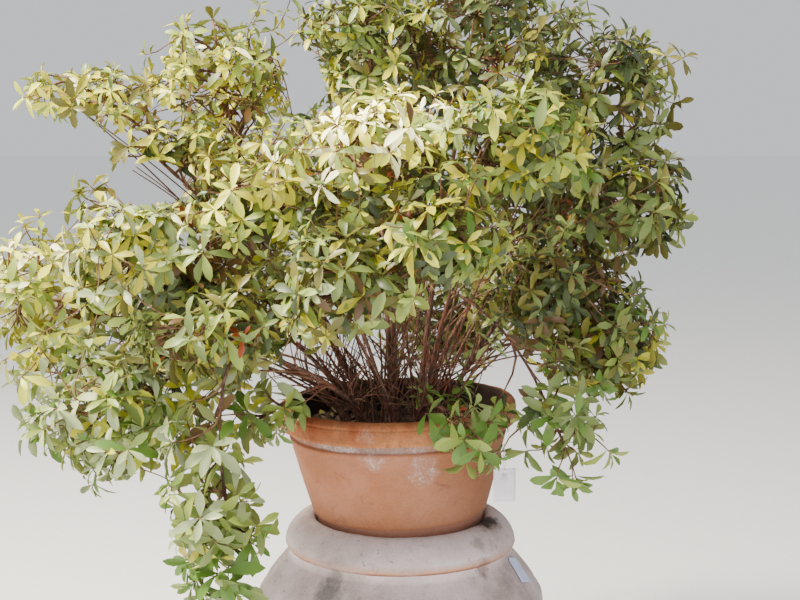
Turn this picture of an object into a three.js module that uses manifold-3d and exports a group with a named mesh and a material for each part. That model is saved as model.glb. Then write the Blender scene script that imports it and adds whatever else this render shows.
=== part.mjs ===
// Evergreen azalea grown as a many-stemmed bush in a terracotta pot, which stands nested in the
// mouth of a large terracotta oil jar. Millimetres, +Z up, +X to the right and +Y to the back,
// with the origin at the middle of the jar's flat underside.
//
// Stems fan out from the soil and end in masses of foliage, and side boughs carry the other
// masses. Each mass keeps to a space of its own: an ellipsoid, cut off half-way to its
// neighbours. Twigs and leaves grow in it by one seeded rule.
import * as THREE from 'three';
import { mergeVertices } from 'three/addons/utils/BufferGeometryUtils.js';
import Module from 'manifold-3d';

const wasm = await Module();
wasm.setup();

// Driving dimensions of the jar: radii and heights up its outside
const jarHeight = 600;
const jarFootRadius = 188;
const jarLowerRadius = 262;
const jarLowerHeight = 156;
const jarBellyRadius = 303;
const jarBellyHeight = 392;
const jarShoulderRadius = 287;
const jarShoulderHeight = 456;
const jarNeckRadius = 238;
const jarNeckHeight = 520;
const jarLipRadius = 243;
const jarLipEdgeHeight = 550;
const jarLipFlatness = 1.25;
const jarMouthRadius = 184;
const jarMouthRound = 10;
const jarWall = 25;

// Driving dimensions of the pot. It sits in the jar's mouth by the seat depth and leans left.
const potHeight = 290;
const potFootRadius = 167;
const potTaper = 0.267;
const potFootRing = 58;
const potBand = 22;
const potRimBand = 49;
const potRimRadius = 250;
const potRimWall = 29;
const potRimRound = 12;
const potStep = 3;
const potWall = 22;
const potFloor = 28;
const potFloorRound = 14;
const potSeatDepth = 45;
const potLean = THREE.MathUtils.degToRad(1.6);

// Driving dimensions of the soil: a flat top that falls off near the wall
const soilDepthBelowRim = 42;
const soilFlatRadius = 170;
const soilDip = 9;

// Driving dimensions of the plant
const leafLength = 138;
const leafWidth = 66;
const leafThickness = 5;
const twigRadius = 4.2;
const boughTipRadius = 4.4;
const stemTipRadius = 5;
const bentTipRadius = 6;

// Gaps: between pieces that meet, between a mass and its neighbours' spaces, and to a limb
const clearance = 0.3;
const massGap = 3;
const limbGap = 1.5;

// How a stem grows: its root flare, as a share of its radius and of its length, the way it
// leaves the soil, and its knee, as shares of the way to its tip
const flareGrowth = 0.7;
const flareLength = 0.2;
const stemRise = 30;
const kneeReach = 0.3;
const kneeRise = 0.62;
const kneeRun = 0.4;
const stemSway = 36;

// How boughs leave a stem: where, how thick, and how far they follow it at first. A limb ends
// at this share of the way from the edge of its mass to the middle.
const firstFork = 0.62;
const forkStep = 0.17;
const boughShare = 0.72;
const boughFollow = 0.3;
const entryShare = 0.5;

// How twigs fill a mass: one side twig for this much of its mean half width, within limits,
// each with its tip at a share of the way to the edge, and its root that far back
const twigPerSize = 33;
const fewestTwigs = 4;
const mostTwigs = 7;
const massStemReach = 1.5;
const twigSpread = 0.55;
const twigSpreadRange = 0.12;
const twigTurnRange = 0.5;
const twigLead = 0.3;
const twigTaper = 0.2;

// How leaves sit on a twig: how far their roots sink in and step back from its end, how wide
// they open from it in radians, and the sizes that are tried in turn
const leavesPerTwig = 5;
const leafSink = 4;
const leafStep = 12;
const leafOpening = 0.5;
const leafOpeningStep = 0.17;
const leafOpeningRange = 0.2;
const leafTurnRange = 0.3;
const leafWidest = 0.56;
const leafSizes = [1.1, 0.94, 0.8, 0.66, 0.53];
const goldenAngle = Math.PI * (3 - Math.sqrt(5));

// How finely the round and branching shapes are cut
const latheSegments = 24;
const bodyPoints = 8;
const lipPoints = 4;
const stemSides = 6;
const boughSides = 5;
const twigSides = 3;
const limbRings = 4;

// The crown. Every stem starts at a bearing in degrees (0 is right, 90 is the back, 270 the
// front) and at a distance from the pot's axis. The masses that it carries are given as name,
// bearing, reach from the axis, height over the soil, half width and half height. The stem ends
// in the first one, and side boughs carry the others. A stem with a bend ends there, and a
// bough goes on from it to the first mass.
const crown = [
  { name: 'left_arm', bearing: 186, foot: 62, radius: 12, carries: [
    ['arm_left', 186, 610, 700, 155, 72],
    ['left_upper', 172, 362, 770, 155, 145],
    ['left_shoulder', 195, 475, 570, 135, 115]] },
  { name: 'left_spread', bearing: 195, foot: 104, radius: 11, carries: [
    ['far_left', 192, 715, 300, 150, 155],
    ['left_low', 206, 605, 90, 165, 145]] },
  { name: 'left_front_rise', bearing: 218, foot: 96, radius: 11, carries: [
    ['left_middle', 212, 560, 400, 155, 135],
    ['left_front', 229, 485, 245, 140, 115]] },
  { name: 'left_weeping', bearing: 237, foot: 104, radius: 10, bend: [233, 425, 205], carries: [
    ['weeping_left', 231, 540, -105, 130, 165],
    ['pot_left', 222, 350, 70, 90, 85]] },
  { name: 'front_spread', bearing: 262, foot: 100, radius: 10, carries: [
    ['front_middle', 257, 440, 350, 140, 115]] },
  { name: 'front_rise', bearing: 262, foot: 52, radius: 12, carries: [
    ['front_upper', 268, 325, 580, 150, 125],
    ['front_left_upper', 228, 370, 500, 140, 120],
    ['front_right', 284, 425, 430, 105, 100]] },
  { name: 'middle', bearing: 112, foot: 28, radius: 14, carries: [
    ['top_middle', 200, 40, 790, 150, 145],
    ['top_back', 92, 290, 730, 180, 135]] },
  { name: 'right_rise', bearing: 8, foot: 48, radius: 15, carries: [
    ['top_right', 12, 215, 800, 165, 135],
    ['right_upper', 5, 465, 690, 160, 135]] },
  { name: 'right_spread', bearing: 352, foot: 98, radius: 12, carries: [
    ['right_middle', 0, 500, 440, 140, 120],
    ['right_inner', 344, 330, 305, 150, 125],
    ['right_low', 352, 470, 170, 120, 115]] },
  { name: 'right_front', bearing: 318, foot: 72, radius: 11, carries: [
    ['right_front_upper', 315, 365, 580, 150, 120],
    ['hanging_right', 316, 440, 50, 100, 125]] },
  { name: 'front_low', bearing: 292, foot: 104, radius: 8, carries: [
    ['hanging_front', 290, 385, 70, 95, 90]] },
  { name: 'back_right', bearing: 45, foot: 90, radius: 12, carries: [
    ['back_right_middle', 42, 500, 400, 200, 170]] },
  { name: 'back', bearing: 92, foot: 92, radius: 12, carries: [
    ['back_middle', 93, 470, 440, 180, 160],
    ['back_low', 75, 535, 140, 210, 140]] },
  { name: 'back_left', bearing: 140, foot: 92, radius: 12, carries: [
    ['back_left_middle', 142, 500, 430, 190, 170],
    ['back_left_low', 146, 550, 130, 190, 135]] },
];

// Seeded random numbers between 0 and 1, the same on every run
function seeded(seed) {
  let state = seed;
  return () => {
    state = (state * 1664525 + 1013904223) % 4294967296;
    return state / 4294967296;
  };
}

// A place given by bearing in degrees, reach from the axis and height
function place(bearing, reach, height) {
  const angle = THREE.MathUtils.degToRad(bearing);
  return new THREE.Vector3(reach * Math.cos(angle), reach * Math.sin(angle), height);
}

// A closed mesh as a solid that can be joined and cut
function solidOf(geometry) {
  const bare = geometry.clone();
  bare.deleteAttribute('normal');
  bare.deleteAttribute('uv');
  const merged = mergeVertices(bare, 1e-4);
  return new wasm.Manifold(new wasm.Mesh({
    numProp: 3,
    vertProperties: new Float32Array(merged.attributes.position.array),
    triVerts: new Uint32Array(merged.index.array),
  }));
}

// A solid turned back into geometry: its largest piece, so loose scraps and sealed hollows go
function geometryOf(solid) {
  const pieces = solid.decompose();
  const largest = pieces.reduce((best, piece) => (piece.volume() > best.volume() ? piece : best));
  const mesh = largest.getMesh();
  const geometry = new THREE.BufferGeometry();
  geometry.setAttribute('position', new THREE.BufferAttribute(mesh.vertProperties, 3));
  geometry.setIndex(new THREE.BufferAttribute(mesh.triVerts, 1));
  return geometry;
}

function named(name, geometry, colour, roughness) {
  const material = new THREE.MeshStandardMaterial({ color: colour, roughness, metalness: 0 });
  const mesh = new THREE.Mesh(geometry, material);
  mesh.name = name;
  return mesh;
}

// A profile of [radius, height] pairs turned about the vertical axis. It runs up the outside
// and down the inside, from the axis to the axis.
function turned(profile) {
  const points = profile.map(([radius, height]) => new THREE.Vector2(radius, height));
  const geometry = new THREE.LatheGeometry(points, latheSegments);
  geometry.rotateX(Math.PI / 2);
  return geometry;
}

// Points along a smooth line through the given [radius, height] pairs
function smooth(pairs, count) {
  const curve = new THREE.SplineCurve(pairs.map(([radius, height]) => new THREE.Vector2(radius, height)));
  return curve.getPoints(count).map((point) => [point.x, point.y]);
}

// The same line moved inwards by the thickness of the wall
function inset(pairs, wall) {
  return pairs.map(([radius, height], i) => {
    const [r0, h0] = pairs[Math.max(i - 1, 0)];
    const [r1, h1] = pairs[Math.min(i + 1, pairs.length - 1)];
    const length = Math.hypot(r1 - r0, h1 - h0);
    return [radius - wall * (h1 - h0) / length, height + wall * (r1 - r0) / length];
  });
}

// Radius of the pot's outer wall at a height over its foot
function potRadius(height) {
  return potFootRadius + potTaper * height;
}

// Egg-shaped jar with an angular shoulder and a thick round lip, hollow and open at the mouth.
// Its throat follows the pot's taper, with a little room all round for the pot's lean.
function jarGeometry() {
  const body = smooth([
    [jarFootRadius, 0],
    [jarLowerRadius, jarLowerHeight],
    [jarBellyRadius, jarBellyHeight],
    [jarShoulderRadius, jarShoulderHeight],
    [jarNeckRadius, jarNeckHeight]], bodyPoints);
  const lipTop = jarMouthRadius + jarMouthRound;
  const lip = Array.from({ length: lipPoints + 1 }, (_, k) => {
    const angle = (k / lipPoints) * Math.PI / 2;
    return [
      lipTop + (jarLipRadius - lipTop) * Math.max(0, Math.cos(angle)) ** jarLipFlatness,
      jarLipEdgeHeight + (jarHeight - jarLipEdgeHeight) * Math.sin(angle) ** jarLipFlatness];
  });
  const throatRoom = 2 * clearance;
  const throatTop = potSeatDepth - jarMouthRound;
  const throat = [
    [potRadius(throatTop) + throatRoom, jarHeight - jarMouthRound],
    [potFootRadius + throatRoom, jarHeight - potSeatDepth]];
  const hollow = inset(body, jarWall)
    .filter(([, height]) => height > 1.5 * jarWall && height < jarNeckHeight - jarWall / 2)
    .reverse();
  return turned([
    [0, 0], ...body, [(jarNeckRadius + jarLipRadius) / 2, (jarNeckHeight + jarLipEdgeHeight) / 2 - potStep],
    ...lip, [jarMouthRadius, jarHeight], ...throat, ...hollow,
    [jarFootRadius - 1.4 * jarWall, jarWall], [0, jarWall]]);
}

// Pot with a tapered body, a foot set back a little, a plain band under the rim and a thick
// rolled rim. Its origin is the middle of its underside.
function potProfile() {
  const rimFoot = potHeight - potRimBand;
  const bandFoot = rimFoot - potBand;
  const rimInside = potRimRadius - potRimWall;
  const floorCorner = potFloor + potFloorRound;
  const wallAt = (height) => potRadius(height) - potWall;
  return {
    outside: [
      [0, 0], [potFootRadius, 0],
      [potRadius(potFootRing) - potStep, potFootRing - 1],
      [potRadius(potFootRing) + 1, potFootRing + 1],
      [potRadius(bandFoot) + 1, bandFoot],
      [potRadius(bandFoot) + 1, bandFoot + potStep],
      [potRadius(rimFoot) - potStep, rimFoot],
      [potRimRadius - potStep, rimFoot + 1],
      [potRimRadius, potHeight - potRimRound],
      [potRimRadius - potRimRound / 3, potHeight - potStep],
      [potRimRadius - potRimRound, potHeight]],
    inside: [
      [rimInside + potStep, potHeight], [rimInside, potHeight - potRimRound / 2],
      [wallAt(rimFoot), rimFoot - potRimRound], [wallAt(floorCorner), floorCorner],
      [wallAt(potFloor) - potFloorRound, potFloor], [0, potFloor]],
  };
}

// Soil that fills the pot to a flat top, and falls off a little at the wall
function soilGeometry() {
  const top = potHeight - soilDepthBelowRim;
  const foot = potFloor + clearance;
  const floorCorner = potFloor + potFloorRound;
  const wallAt = (height) => potRadius(height) - potWall - 2 * clearance;
  return turned([
    [0, foot], [wallAt(foot) - potFloorRound, foot], [wallAt(floorCorner), floorCorner + clearance],
    [wallAt(top - soilDip), top - soilDip], [soilFlatRadius, top], [0, top]]);
}

// Two axes across a limb that runs along the tangent, kept from turning by its chord
function axesAcross(tangent, chord) {
  const reference = Math.abs(chord.z) > 0.8 ? new THREE.Vector3(1, 0, 0) : new THREE.Vector3(0, 0, 1);
  const side = new THREE.Vector3().crossVectors(reference, tangent).normalize();
  return { side, up: new THREE.Vector3().crossVectors(tangent, side) };
}

// A tapering limb: a cylinder bent along a curve. radiusAt gives the radius along the curve.
function limbGeometry(curve, radiusAt, sides, rings) {
  const geometry = new THREE.CylinderGeometry(1, 1, 1, sides, rings);
  const position = geometry.attributes.position;
  const chord = curve.getPoint(1).sub(curve.getPoint(0)).normalize();
  for (let i = 0; i < position.count; i++) {
    const t = position.getY(i) + 0.5;
    const { side, up } = axesAcross(curve.getTangent(t), chord);
    const point = curve.getPoint(t)
      .addScaledVector(side, position.getZ(i) * radiusAt(t))
      .addScaledVector(up, position.getX(i) * radiusAt(t));
    position.setXYZ(i, point.x, point.y, point.z);
  }
  return geometry;
}

// Radius along a stem: a root flare at the soil, then an even taper
function stemRadius(base, tip) {
  return (t) => THREE.MathUtils.lerp(base, tip, t) + base * flareGrowth * Math.max(0, 1 - t / flareLength) ** 2;
}

// The curve of a stem: steep at first, then leaning out to its tip. Its foot leaves the soil
// straight up, so the flat cut lies on the soil.
function stemCurve(foot, tip, sway) {
  const run = Math.hypot(tip.x - foot.x, tip.y - foot.y);
  const knee = foot.clone().lerp(tip, kneeReach);
  knee.z = foot.z + Math.max(kneeRise * (tip.z - foot.z), kneeRun * run);
  knee.add(sway);
  return new THREE.CubicBezierCurve3(foot, foot.clone().add(new THREE.Vector3(0, 0, stemRise)), knee, tip);
}

// The curve of a bough: it leaves its stem on a slant and bends towards its mass
function boughCurve(start, along, tip) {
  const straight = tip.clone().sub(start);
  const length = straight.length();
  const leave = straight.normalize().lerp(along, boughFollow).normalize();
  return new THREE.QuadraticBezierCurve3(start, start.clone().addScaledVector(leave, length / 2), tip);
}

// The curve of a bough that goes on from a stem's tip in the stem's own direction
function bendCurve(start, along, tip) {
  const middle = start.clone().addScaledVector(along, tip.distanceTo(start) / 2);
  return new THREE.QuadraticBezierCurve3(start, middle, tip);
}

// The point short of a mass's centre where its limb ends
function entryPoint(from, mass) {
  const approach = mass.centre.clone().sub(from).normalize();
  const level = Math.hypot(approach.x, approach.y) * mass.wide;
  return mass.centre.clone().addScaledVector(approach, -entryShare * Math.hypot(level, approach.z * mass.tall));
}

// A bough to a mass. The seat is the stem that a side bough is cut clear of.
function boughTo(mass, start, along, radius, seat) {
  const tip = entryPoint(start, mass);
  return {
    name: 'bough_' + mass.name,
    curve: seat ? boughCurve(start, along, tip) : bendCurve(start, along, tip),
    radiusAt: (t) => THREE.MathUtils.lerp(radius, boughTipRadius, t),
    sides: boughSides,
    mass,
    seat,
  };
}

// The whole skeleton of limbs: each has a name, a curve, radii and the mass at its tip
function growLimbs(masses) {
  const random = seeded(7);
  const limbs = [];
  crown.forEach((stem) => {
    const carried = masses.filter((mass) => mass.stem === stem.name);
    const first = carried[0];
    const foot = place(stem.bearing, stem.foot, clearance);
    const sway = new THREE.Vector3(random() - 0.5, random() - 0.5, 0).multiplyScalar(stemSway);
    const from = foot.clone().setZ(first.centre.z / 2);
    const tip = stem.bend ? place(...stem.bend) : entryPoint(from, first);
    const main = {
      name: 'stem_' + stem.name,
      curve: stemCurve(foot, tip, sway),
      radiusAt: stemRadius(stem.radius, stem.bend ? bentTipRadius : stemTipRadius),
      sides: stemSides,
      mass: stem.bend ? null : first,
    };
    limbs.push(main);
    if (stem.bend) {
      const along = main.curve.getTangent(1);
      limbs.push(boughTo(first, tip.clone().addScaledVector(along, clearance), along, bentTipRadius, null));
    }
    carried.slice(1).forEach((mass, k) => {
      const t = firstFork - forkStep * k;
      const radius = main.radiusAt(t) * boughShare;
      limbs.push(boughTo(mass, main.curve.getPoint(t), main.curve.getTangent(t), radius, main));
    });
  });
  return limbs;
}

// A limb as a solid, with its radius grown by the given amount
function limbSolid(limb, grown) {
  return solidOf(limbGeometry(limb.curve, (t) => limb.radiusAt(t) + grown, limb.sides, limbRings));
}

// Whether a point lies in a mass's space: inside its ellipsoid, and on its own side of the
// plane between it and each other mass
function inSpace(point, mass, masses) {
  const offset = point.clone().sub(mass.centre);
  const out = (offset.x ** 2 + offset.y ** 2) / mass.wide ** 2 + offset.z ** 2 / mass.tall ** 2;
  if (out > 1) {
    return false;
  }
  return masses.every((other) => {
    if (other === mass) {
      return true;
    }
    const apart = mass.centre.distanceTo(other.centre);
    const own = point.distanceToSquared(mass.centre) - mass.size ** 2;
    const theirs = point.distanceToSquared(other.centre) - other.size ** 2;
    return (theirs - own) / (2 * apart) > massGap / 2;
  });
}

function allInSpace(geometry, mass, masses) {
  const position = geometry.attributes.position;
  for (let i = 0; i < position.count; i++) {
    if (!inSpace(new THREE.Vector3().fromBufferAttribute(position, i), mass, masses)) {
      return false;
    }
  }
  return true;
}

// A leaf: a flat eight-faced blade, widest past its middle, from its root along a direction,
// with its upper face towards the given side
function leafGeometry(root, direction, upper, size) {
  const geometry = new THREE.OctahedronGeometry(1);
  const position = geometry.attributes.position;
  const across = new THREE.Vector3().crossVectors(direction, upper).normalize();
  const normal = new THREE.Vector3().crossVectors(direction, across);
  for (let i = 0; i < position.count; i++) {
    const end = position.getX(i);
    const station = end === 0 ? leafWidest : (end + 1) / 2;
    const point = root.clone()
      .addScaledVector(direction, station * leafLength * size)
      .addScaledVector(across, position.getY(i) * leafWidth * size / 2)
      .addScaledVector(normal, position.getZ(i) * leafThickness / 2);
    position.setXYZ(i, point.x, point.y, point.z);
  }
  return geometry;
}

// A straight twig, a little thinner at its end
function twigGeometry(start, end, radius) {
  return limbGeometry(new THREE.LineCurve3(start, end), (t) => radius * (1 - twigTaper * t), twigSides, 1);
}

// The twigs of a mass: a stem that goes on from the limb's tip, and side twigs that reach out
// evenly to all sides of the space. Each ends in a rosette of leaves.
function growTwigs(mass, limb, random) {
  const along = limb.curve.getTangent(1);
  const start = limb.curve.getPoint(1).addScaledVector(along, clearance);
  const length = massStemReach * start.distanceTo(mass.centre);
  const end = start.clone().addScaledVector(along, length);
  const twigs = [{ start, end, outward: along.clone(), radius: boughTipRadius }];
  const count = THREE.MathUtils.clamp(Math.round(mass.size / twigPerSize), fewestTwigs, mostTwigs);
  const turn = random() * Math.PI * 2;
  for (let k = 0; k < count; k++) {
    const height = 1 - (2 * k + 1) / count;
    const level = Math.sqrt(1 - height * height);
    const angle = turn + k * goldenAngle + (random() - 0.5) * twigTurnRange;
    const outward = new THREE.Vector3(level * Math.cos(angle), level * Math.sin(angle), height);
    const reach = new THREE.Vector3(mass.wide, mass.wide, mass.tall).multiply(outward);
    const tip = mass.centre.clone().addScaledVector(reach, twigSpread + twigSpreadRange * random());
    const abreast = tip.clone().sub(start).dot(along) / length;
    const rooted = THREE.MathUtils.clamp(abreast - twigLead, twigLead / 3, 1 - twigLead / 3);
    const root = start.clone().addScaledVector(along, length * rooted);
    twigs.push({ start: root, end: tip, outward, radius: twigRadius });
  }
  return twigs;
}

// The leaves at the end of a twig: each has a root on the twig's axis, a direction and the way
// its upper face looks. They come out of the twig's three sides in turn, and open wider the
// further they are from its end.
function rosette(twig, random) {
  const along = twig.end.clone().sub(twig.start).normalize();
  const { side, up } = axesAcross(along, along);
  const upper = along.clone().add(twig.outward).normalize();
  const first = Math.floor(random() * twigSides);
  return Array.from({ length: leavesPerTwig }, (_, k) => {
    const angle = (first + k + 0.5) * 2 * Math.PI / twigSides + leafTurnRange * (random() - 0.5);
    const open = leafOpening + leafOpeningStep * k + leafOpeningRange * random();
    return {
      root: twig.end.clone().addScaledVector(along, -leafSink - k * leafStep),
      direction: along.clone().multiplyScalar(Math.cos(open))
        .addScaledVector(side, Math.sin(open) * Math.cos(angle))
        .addScaledVector(up, Math.sin(open) * Math.sin(angle)),
      upper,
    };
  });
}

// One mass: its twigs and leaves fused. What would leave the space or touch a limb, the pot or
// the soil is skipped, and so is a leaf that would cross another one. A leaf with too little
// room for its full size is smaller.
function massSolid(mass, limb, masses, obstacles, random) {
  const wood = [];
  const blades = [];
  const free = (geometry, others) => {
    const solid = solidOf(geometry);
    return others.every((other) => solid.intersect(other).isEmpty()) ? solid : null;
  };
  growTwigs(mass, limb, random).forEach((twig, k) => {
    const leaves = rosette(twig, random);
    const geometry = twigGeometry(twig.start, twig.end, twig.radius);
    const solid = k === 0 ? solidOf(geometry) : free(geometry, [obstacles, ...blades]);
    if (!solid || (k > 0 && !allInSpace(geometry, mass, masses))) {
      return;
    }
    const otherWood = [...wood];
    wood.push(solid);
    leaves.forEach(({ root, direction, upper }) => {
      for (const size of leafSizes) {
        const leaf = leafGeometry(root, direction, upper, size);
        const blade = allInSpace(leaf, mass, masses) ? free(leaf, [obstacles, ...otherWood, ...blades]) : null;
        if (blade) {
          blades.push(blade);
          break;
        }
      }
    });
  });
  return wasm.Manifold.union([...wood, ...blades]);
}

// The masses of the crown, worked out from the table
const masses = crown.flatMap((stem) => stem.carries.map(([name, bearing, reach, height, wide, tall]) => ({
  name,
  stem: stem.name,
  centre: place(bearing, reach, height),
  wide,
  tall,
  size: Math.cbrt(wide * wide * tall),
})));

// Jar
const part = new THREE.Group();
part.add(named('jar', geometryOf(solidOf(jarGeometry())), '#b08f78', 0.85));

// Pot, soil and plant lean together, about the jar's mouth
const planted = new THREE.Group();
planted.rotation.y = -potLean;
planted.position.set(potSeatDepth * Math.sin(potLean), 0, jarHeight - potSeatDepth);
part.add(planted);
const profile = potProfile();
const potGeometry = turned([...profile.outside, ...profile.inside]);
planted.add(named('pot', geometryOf(solidOf(potGeometry)), '#b4693f', 0.85));
planted.add(named('soil', geometryOf(solidOf(soilGeometry())), '#3b2d24', 1));

// Stems and boughs, each bough cut clear of the stem that it leaves
const plant = new THREE.Group();
plant.position.z = potHeight - soilDepthBelowRim;
planted.add(plant);
const limbs = growLimbs(masses);
for (const limb of limbs) {
  let solid = limbSolid(limb, 0);
  if (limb.seat) {
    solid = solid.subtract(limbSolid(limb.seat, clearance));
  }
  plant.add(named(limb.name, geometryOf(solid), '#6b4b3a', 0.9));
}

// Masses of foliage, clear of every limb and of the pot
const keepClear = turned([...profile.outside, [0, potHeight]]);
keepClear.translate(0, 0, soilDepthBelowRim - potHeight);
keepClear.scale(1.02, 1.02, 1.05);
const obstacles = wasm.Manifold.union([solidOf(keepClear), ...limbs.map((limb) => limbSolid(limb, limbGap))]);
masses.forEach((mass, k) => {
  const limb = limbs.find((candidate) => candidate.mass === mass);
  const solid = massSolid(mass, limb, masses, obstacles, seeded(100 + k));
  plant.add(named('foliage_' + mass.name, geometryOf(solid), '#5f7a34', 0.6));
});

export default part;
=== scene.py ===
# Evergreen azalea grown as a many-stemmed bush in a terracotta pot. The pot stands in the mouth
# of a large terracotta oil jar and leans a little to the left. Metres, +Z up, +X to the right
# and +Y to the back, with the origin at the middle of the jar's flat underside.
import math

import bmesh
import bpy
import numpy as np
from mathutils import Matrix, Vector, noise


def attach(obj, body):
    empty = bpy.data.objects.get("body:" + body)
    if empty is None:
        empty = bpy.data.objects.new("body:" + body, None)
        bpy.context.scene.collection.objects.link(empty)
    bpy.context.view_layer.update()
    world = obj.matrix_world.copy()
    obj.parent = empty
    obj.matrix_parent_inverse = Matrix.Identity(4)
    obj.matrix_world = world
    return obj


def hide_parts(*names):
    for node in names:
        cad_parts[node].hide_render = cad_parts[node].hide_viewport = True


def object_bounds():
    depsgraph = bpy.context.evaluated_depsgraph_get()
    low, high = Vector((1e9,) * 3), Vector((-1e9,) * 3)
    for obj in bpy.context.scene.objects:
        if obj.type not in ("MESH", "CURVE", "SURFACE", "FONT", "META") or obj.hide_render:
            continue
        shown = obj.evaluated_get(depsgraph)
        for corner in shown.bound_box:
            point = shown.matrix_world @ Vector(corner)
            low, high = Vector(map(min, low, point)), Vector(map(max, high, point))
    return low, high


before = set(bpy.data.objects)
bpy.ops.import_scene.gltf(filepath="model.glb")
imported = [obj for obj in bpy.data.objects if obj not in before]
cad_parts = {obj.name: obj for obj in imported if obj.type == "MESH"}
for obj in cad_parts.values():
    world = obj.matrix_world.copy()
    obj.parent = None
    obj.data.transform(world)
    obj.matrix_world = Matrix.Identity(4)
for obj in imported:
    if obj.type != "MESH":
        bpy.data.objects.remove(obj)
cad_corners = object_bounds()

# Camera
# A long lens at a standing adult's eye level, three metres from the pot, that looks slightly
# down at the rim.
camera_data = bpy.data.cameras.new("camera")
camera_data.sensor_width = 36.0
camera_data.lens = 65.25
camera = bpy.data.objects.new("camera", camera_data)
camera.location = (0.0, -2.998, 1.455)
camera.rotation_euler = (math.radians(90.0 - 7.61), 0.0, 0.0)
bpy.context.collection.objects.link(camera)
bpy.context.scene.camera = camera


# Floor and light
# A plain pale studio floor that runs out to the horizon, a bright room, one strong soft light
# high at the left, a weaker one at the front, and a narrow sunbeam on the middle of the crown.
def linear(hex_colour):
    """A colour given as sRGB hex, as linear red, green, blue and alpha"""
    shares = [int(hex_colour[i:i + 2], 16) / 255 for i in (1, 3, 5)]
    return [c / 12.92 if c <= 0.04045 else ((c + 0.055) / 1.055) ** 2.4 for c in shares] + [1.0]


def set_inputs(tree, node, inputs):
    """Sets a node's inputs. Each is a value, an output to link, or a node, whose first output
    in use is linked"""
    for socket, value in inputs.items():
        if isinstance(value, bpy.types.Node):
            value = next(output for output in value.outputs if output.enabled)
        if isinstance(value, bpy.types.NodeSocket):
            tree.links.new(value, node.inputs[socket])
        else:
            node.inputs[socket].default_value = value


def add_node(tree, kind, inputs, stops=(), **settings):
    """Adds a shader node with its settings and inputs. The stops of a colour ramp are its
    places and colours"""
    node = tree.nodes.new("ShaderNode" + kind)
    for name, value in settings.items():
        setattr(node, name, value)
    if stops:
        marks = node.color_ramp.elements
        marks[0].position, marks[1].position = stops[0][0], stops[-1][0]
        for position, _ in stops[1:-1]:
            marks.new(position)
        for mark, (_, colour) in zip(marks, stops):
            mark.color = linear(colour)
    set_inputs(tree, node, inputs)
    return node


def new_finish(name, roughness, specular=0.5):
    """A material with a Principled shader, and its node tree"""
    material = bpy.data.materials.new(name)
    material.use_nodes = True
    shader = material.node_tree.nodes["Principled BSDF"]
    shader.inputs["Roughness"].default_value = roughness
    shader.inputs["Specular IOR Level"].default_value = specular
    return material, material.node_tree, shader


floor_shape = bmesh.new()
bmesh.ops.create_grid(floor_shape, x_segments=1, y_segments=1, size=40.0)
floor_mesh = bpy.data.meshes.new("floor")
floor_shape.to_mesh(floor_mesh)
floor = bpy.data.objects.new("floor", floor_mesh)
bpy.context.collection.objects.link(floor)
floor_finish, _, floor_shader = new_finish("pale_studio_floor", 0.9, 0.1)
floor_shader.inputs["Base Color"].default_value = linear("#f6f6f5")
floor_mesh.materials.append(floor_finish)

world = bpy.data.worlds.new("bright_room")
world.use_nodes = True
world.node_tree.nodes["Background"].inputs["Color"].default_value = linear("#f2f4f7")
world.node_tree.nodes["Background"].inputs["Strength"].default_value = 0.86
bpy.context.scene.world = world

plant_middle = Vector((0.0, 0.0, 1.1))
for name, place_at, size, power, tone in (
        ("sun_side_softbox", (-2.4, -0.7, 4.1), 1.1, 640.0, "#fff5e2"),
        ("front_softbox", (-0.5, -3.6, 2.4), 3.0, 80.0, "#f3f6ff")):
    lamp = bpy.data.lights.new(name, "AREA")
    lamp.size = size
    lamp.energy = power
    lamp.color = linear(tone)[:3]
    light = bpy.data.objects.new(name, lamp)
    light.location = place_at
    light.rotation_euler = (plant_middle - light.location).to_track_quat("-Z", "Y").to_euler()
    bpy.context.collection.objects.link(light)
beam = bpy.data.lights.new("sunbeam", "SPOT")
beam.energy = 1200.0
beam.color = linear("#fff4dd")[:3]
beam.spot_size = math.radians(11.0)
beam.spot_blend = 0.9
beam.shadow_soft_size = 0.03
beam_light = bpy.data.objects.new("sunbeam", beam)
beam_light.location = (-0.9, -1.5, 3.1)
beam_way = Vector((-0.02, -0.25, 1.4)) - beam_light.location
beam_light.rotation_euler = beam_way.to_track_quat("-Z", "Y").to_euler()
bpy.context.collection.objects.link(beam_light)


# Jar
# Coil-built oil jar of fired earthenware, egg-shaped, with an angular shoulder and a thick
# rolled lip. Old and weathered: pinkish grey, worn warm at the lip's edge, with dark stains,
# and painted shadow in the undercut under the lip and in the gap beside the pot.
MM = 0.001
jar_height, jar_foot_radius, jar_neck_radius, jar_neck_height = 600.0, 188.0, 238.0, 520.0
jar_lip_radius, jar_lip_edge, jar_mouth_radius, jar_wall = 243.0, 550.0, 184.0, 25.0
lip_top, lip_flatness, throat_widening = jar_mouth_radius + 10.0, 1.25, 1.2
jar_outline = [(jar_foot_radius, 0.0), (262.0, 156.0), (303.0, 392.0), (287.0, 456.0),
               (jar_neck_radius, jar_neck_height)]
pot_foot_radius, pot_taper, seat_depth = 167.0, 0.267, 45.0


def smooth_line(points, count):
    """Points along a smooth line through the given pairs of radius and height"""
    points = np.array(points, float)
    last = len(points) - 1
    line = []
    for place_on in np.linspace(0, last, count + 1):
        start = min(int(place_on), last - 1)
        a, b, c, d = (points[min(max(start + k, 0), last)] for k in (-1, 0, 1, 2))
        t = place_on - start
        rise, fall = (c - a) / 2, (d - b) / 2
        line.append(b + rise * t + (3 * c - 3 * b - 2 * rise - fall) * t ** 2
                    + (2 * b - 2 * c + rise + fall) * t ** 3)
    return line


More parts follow.
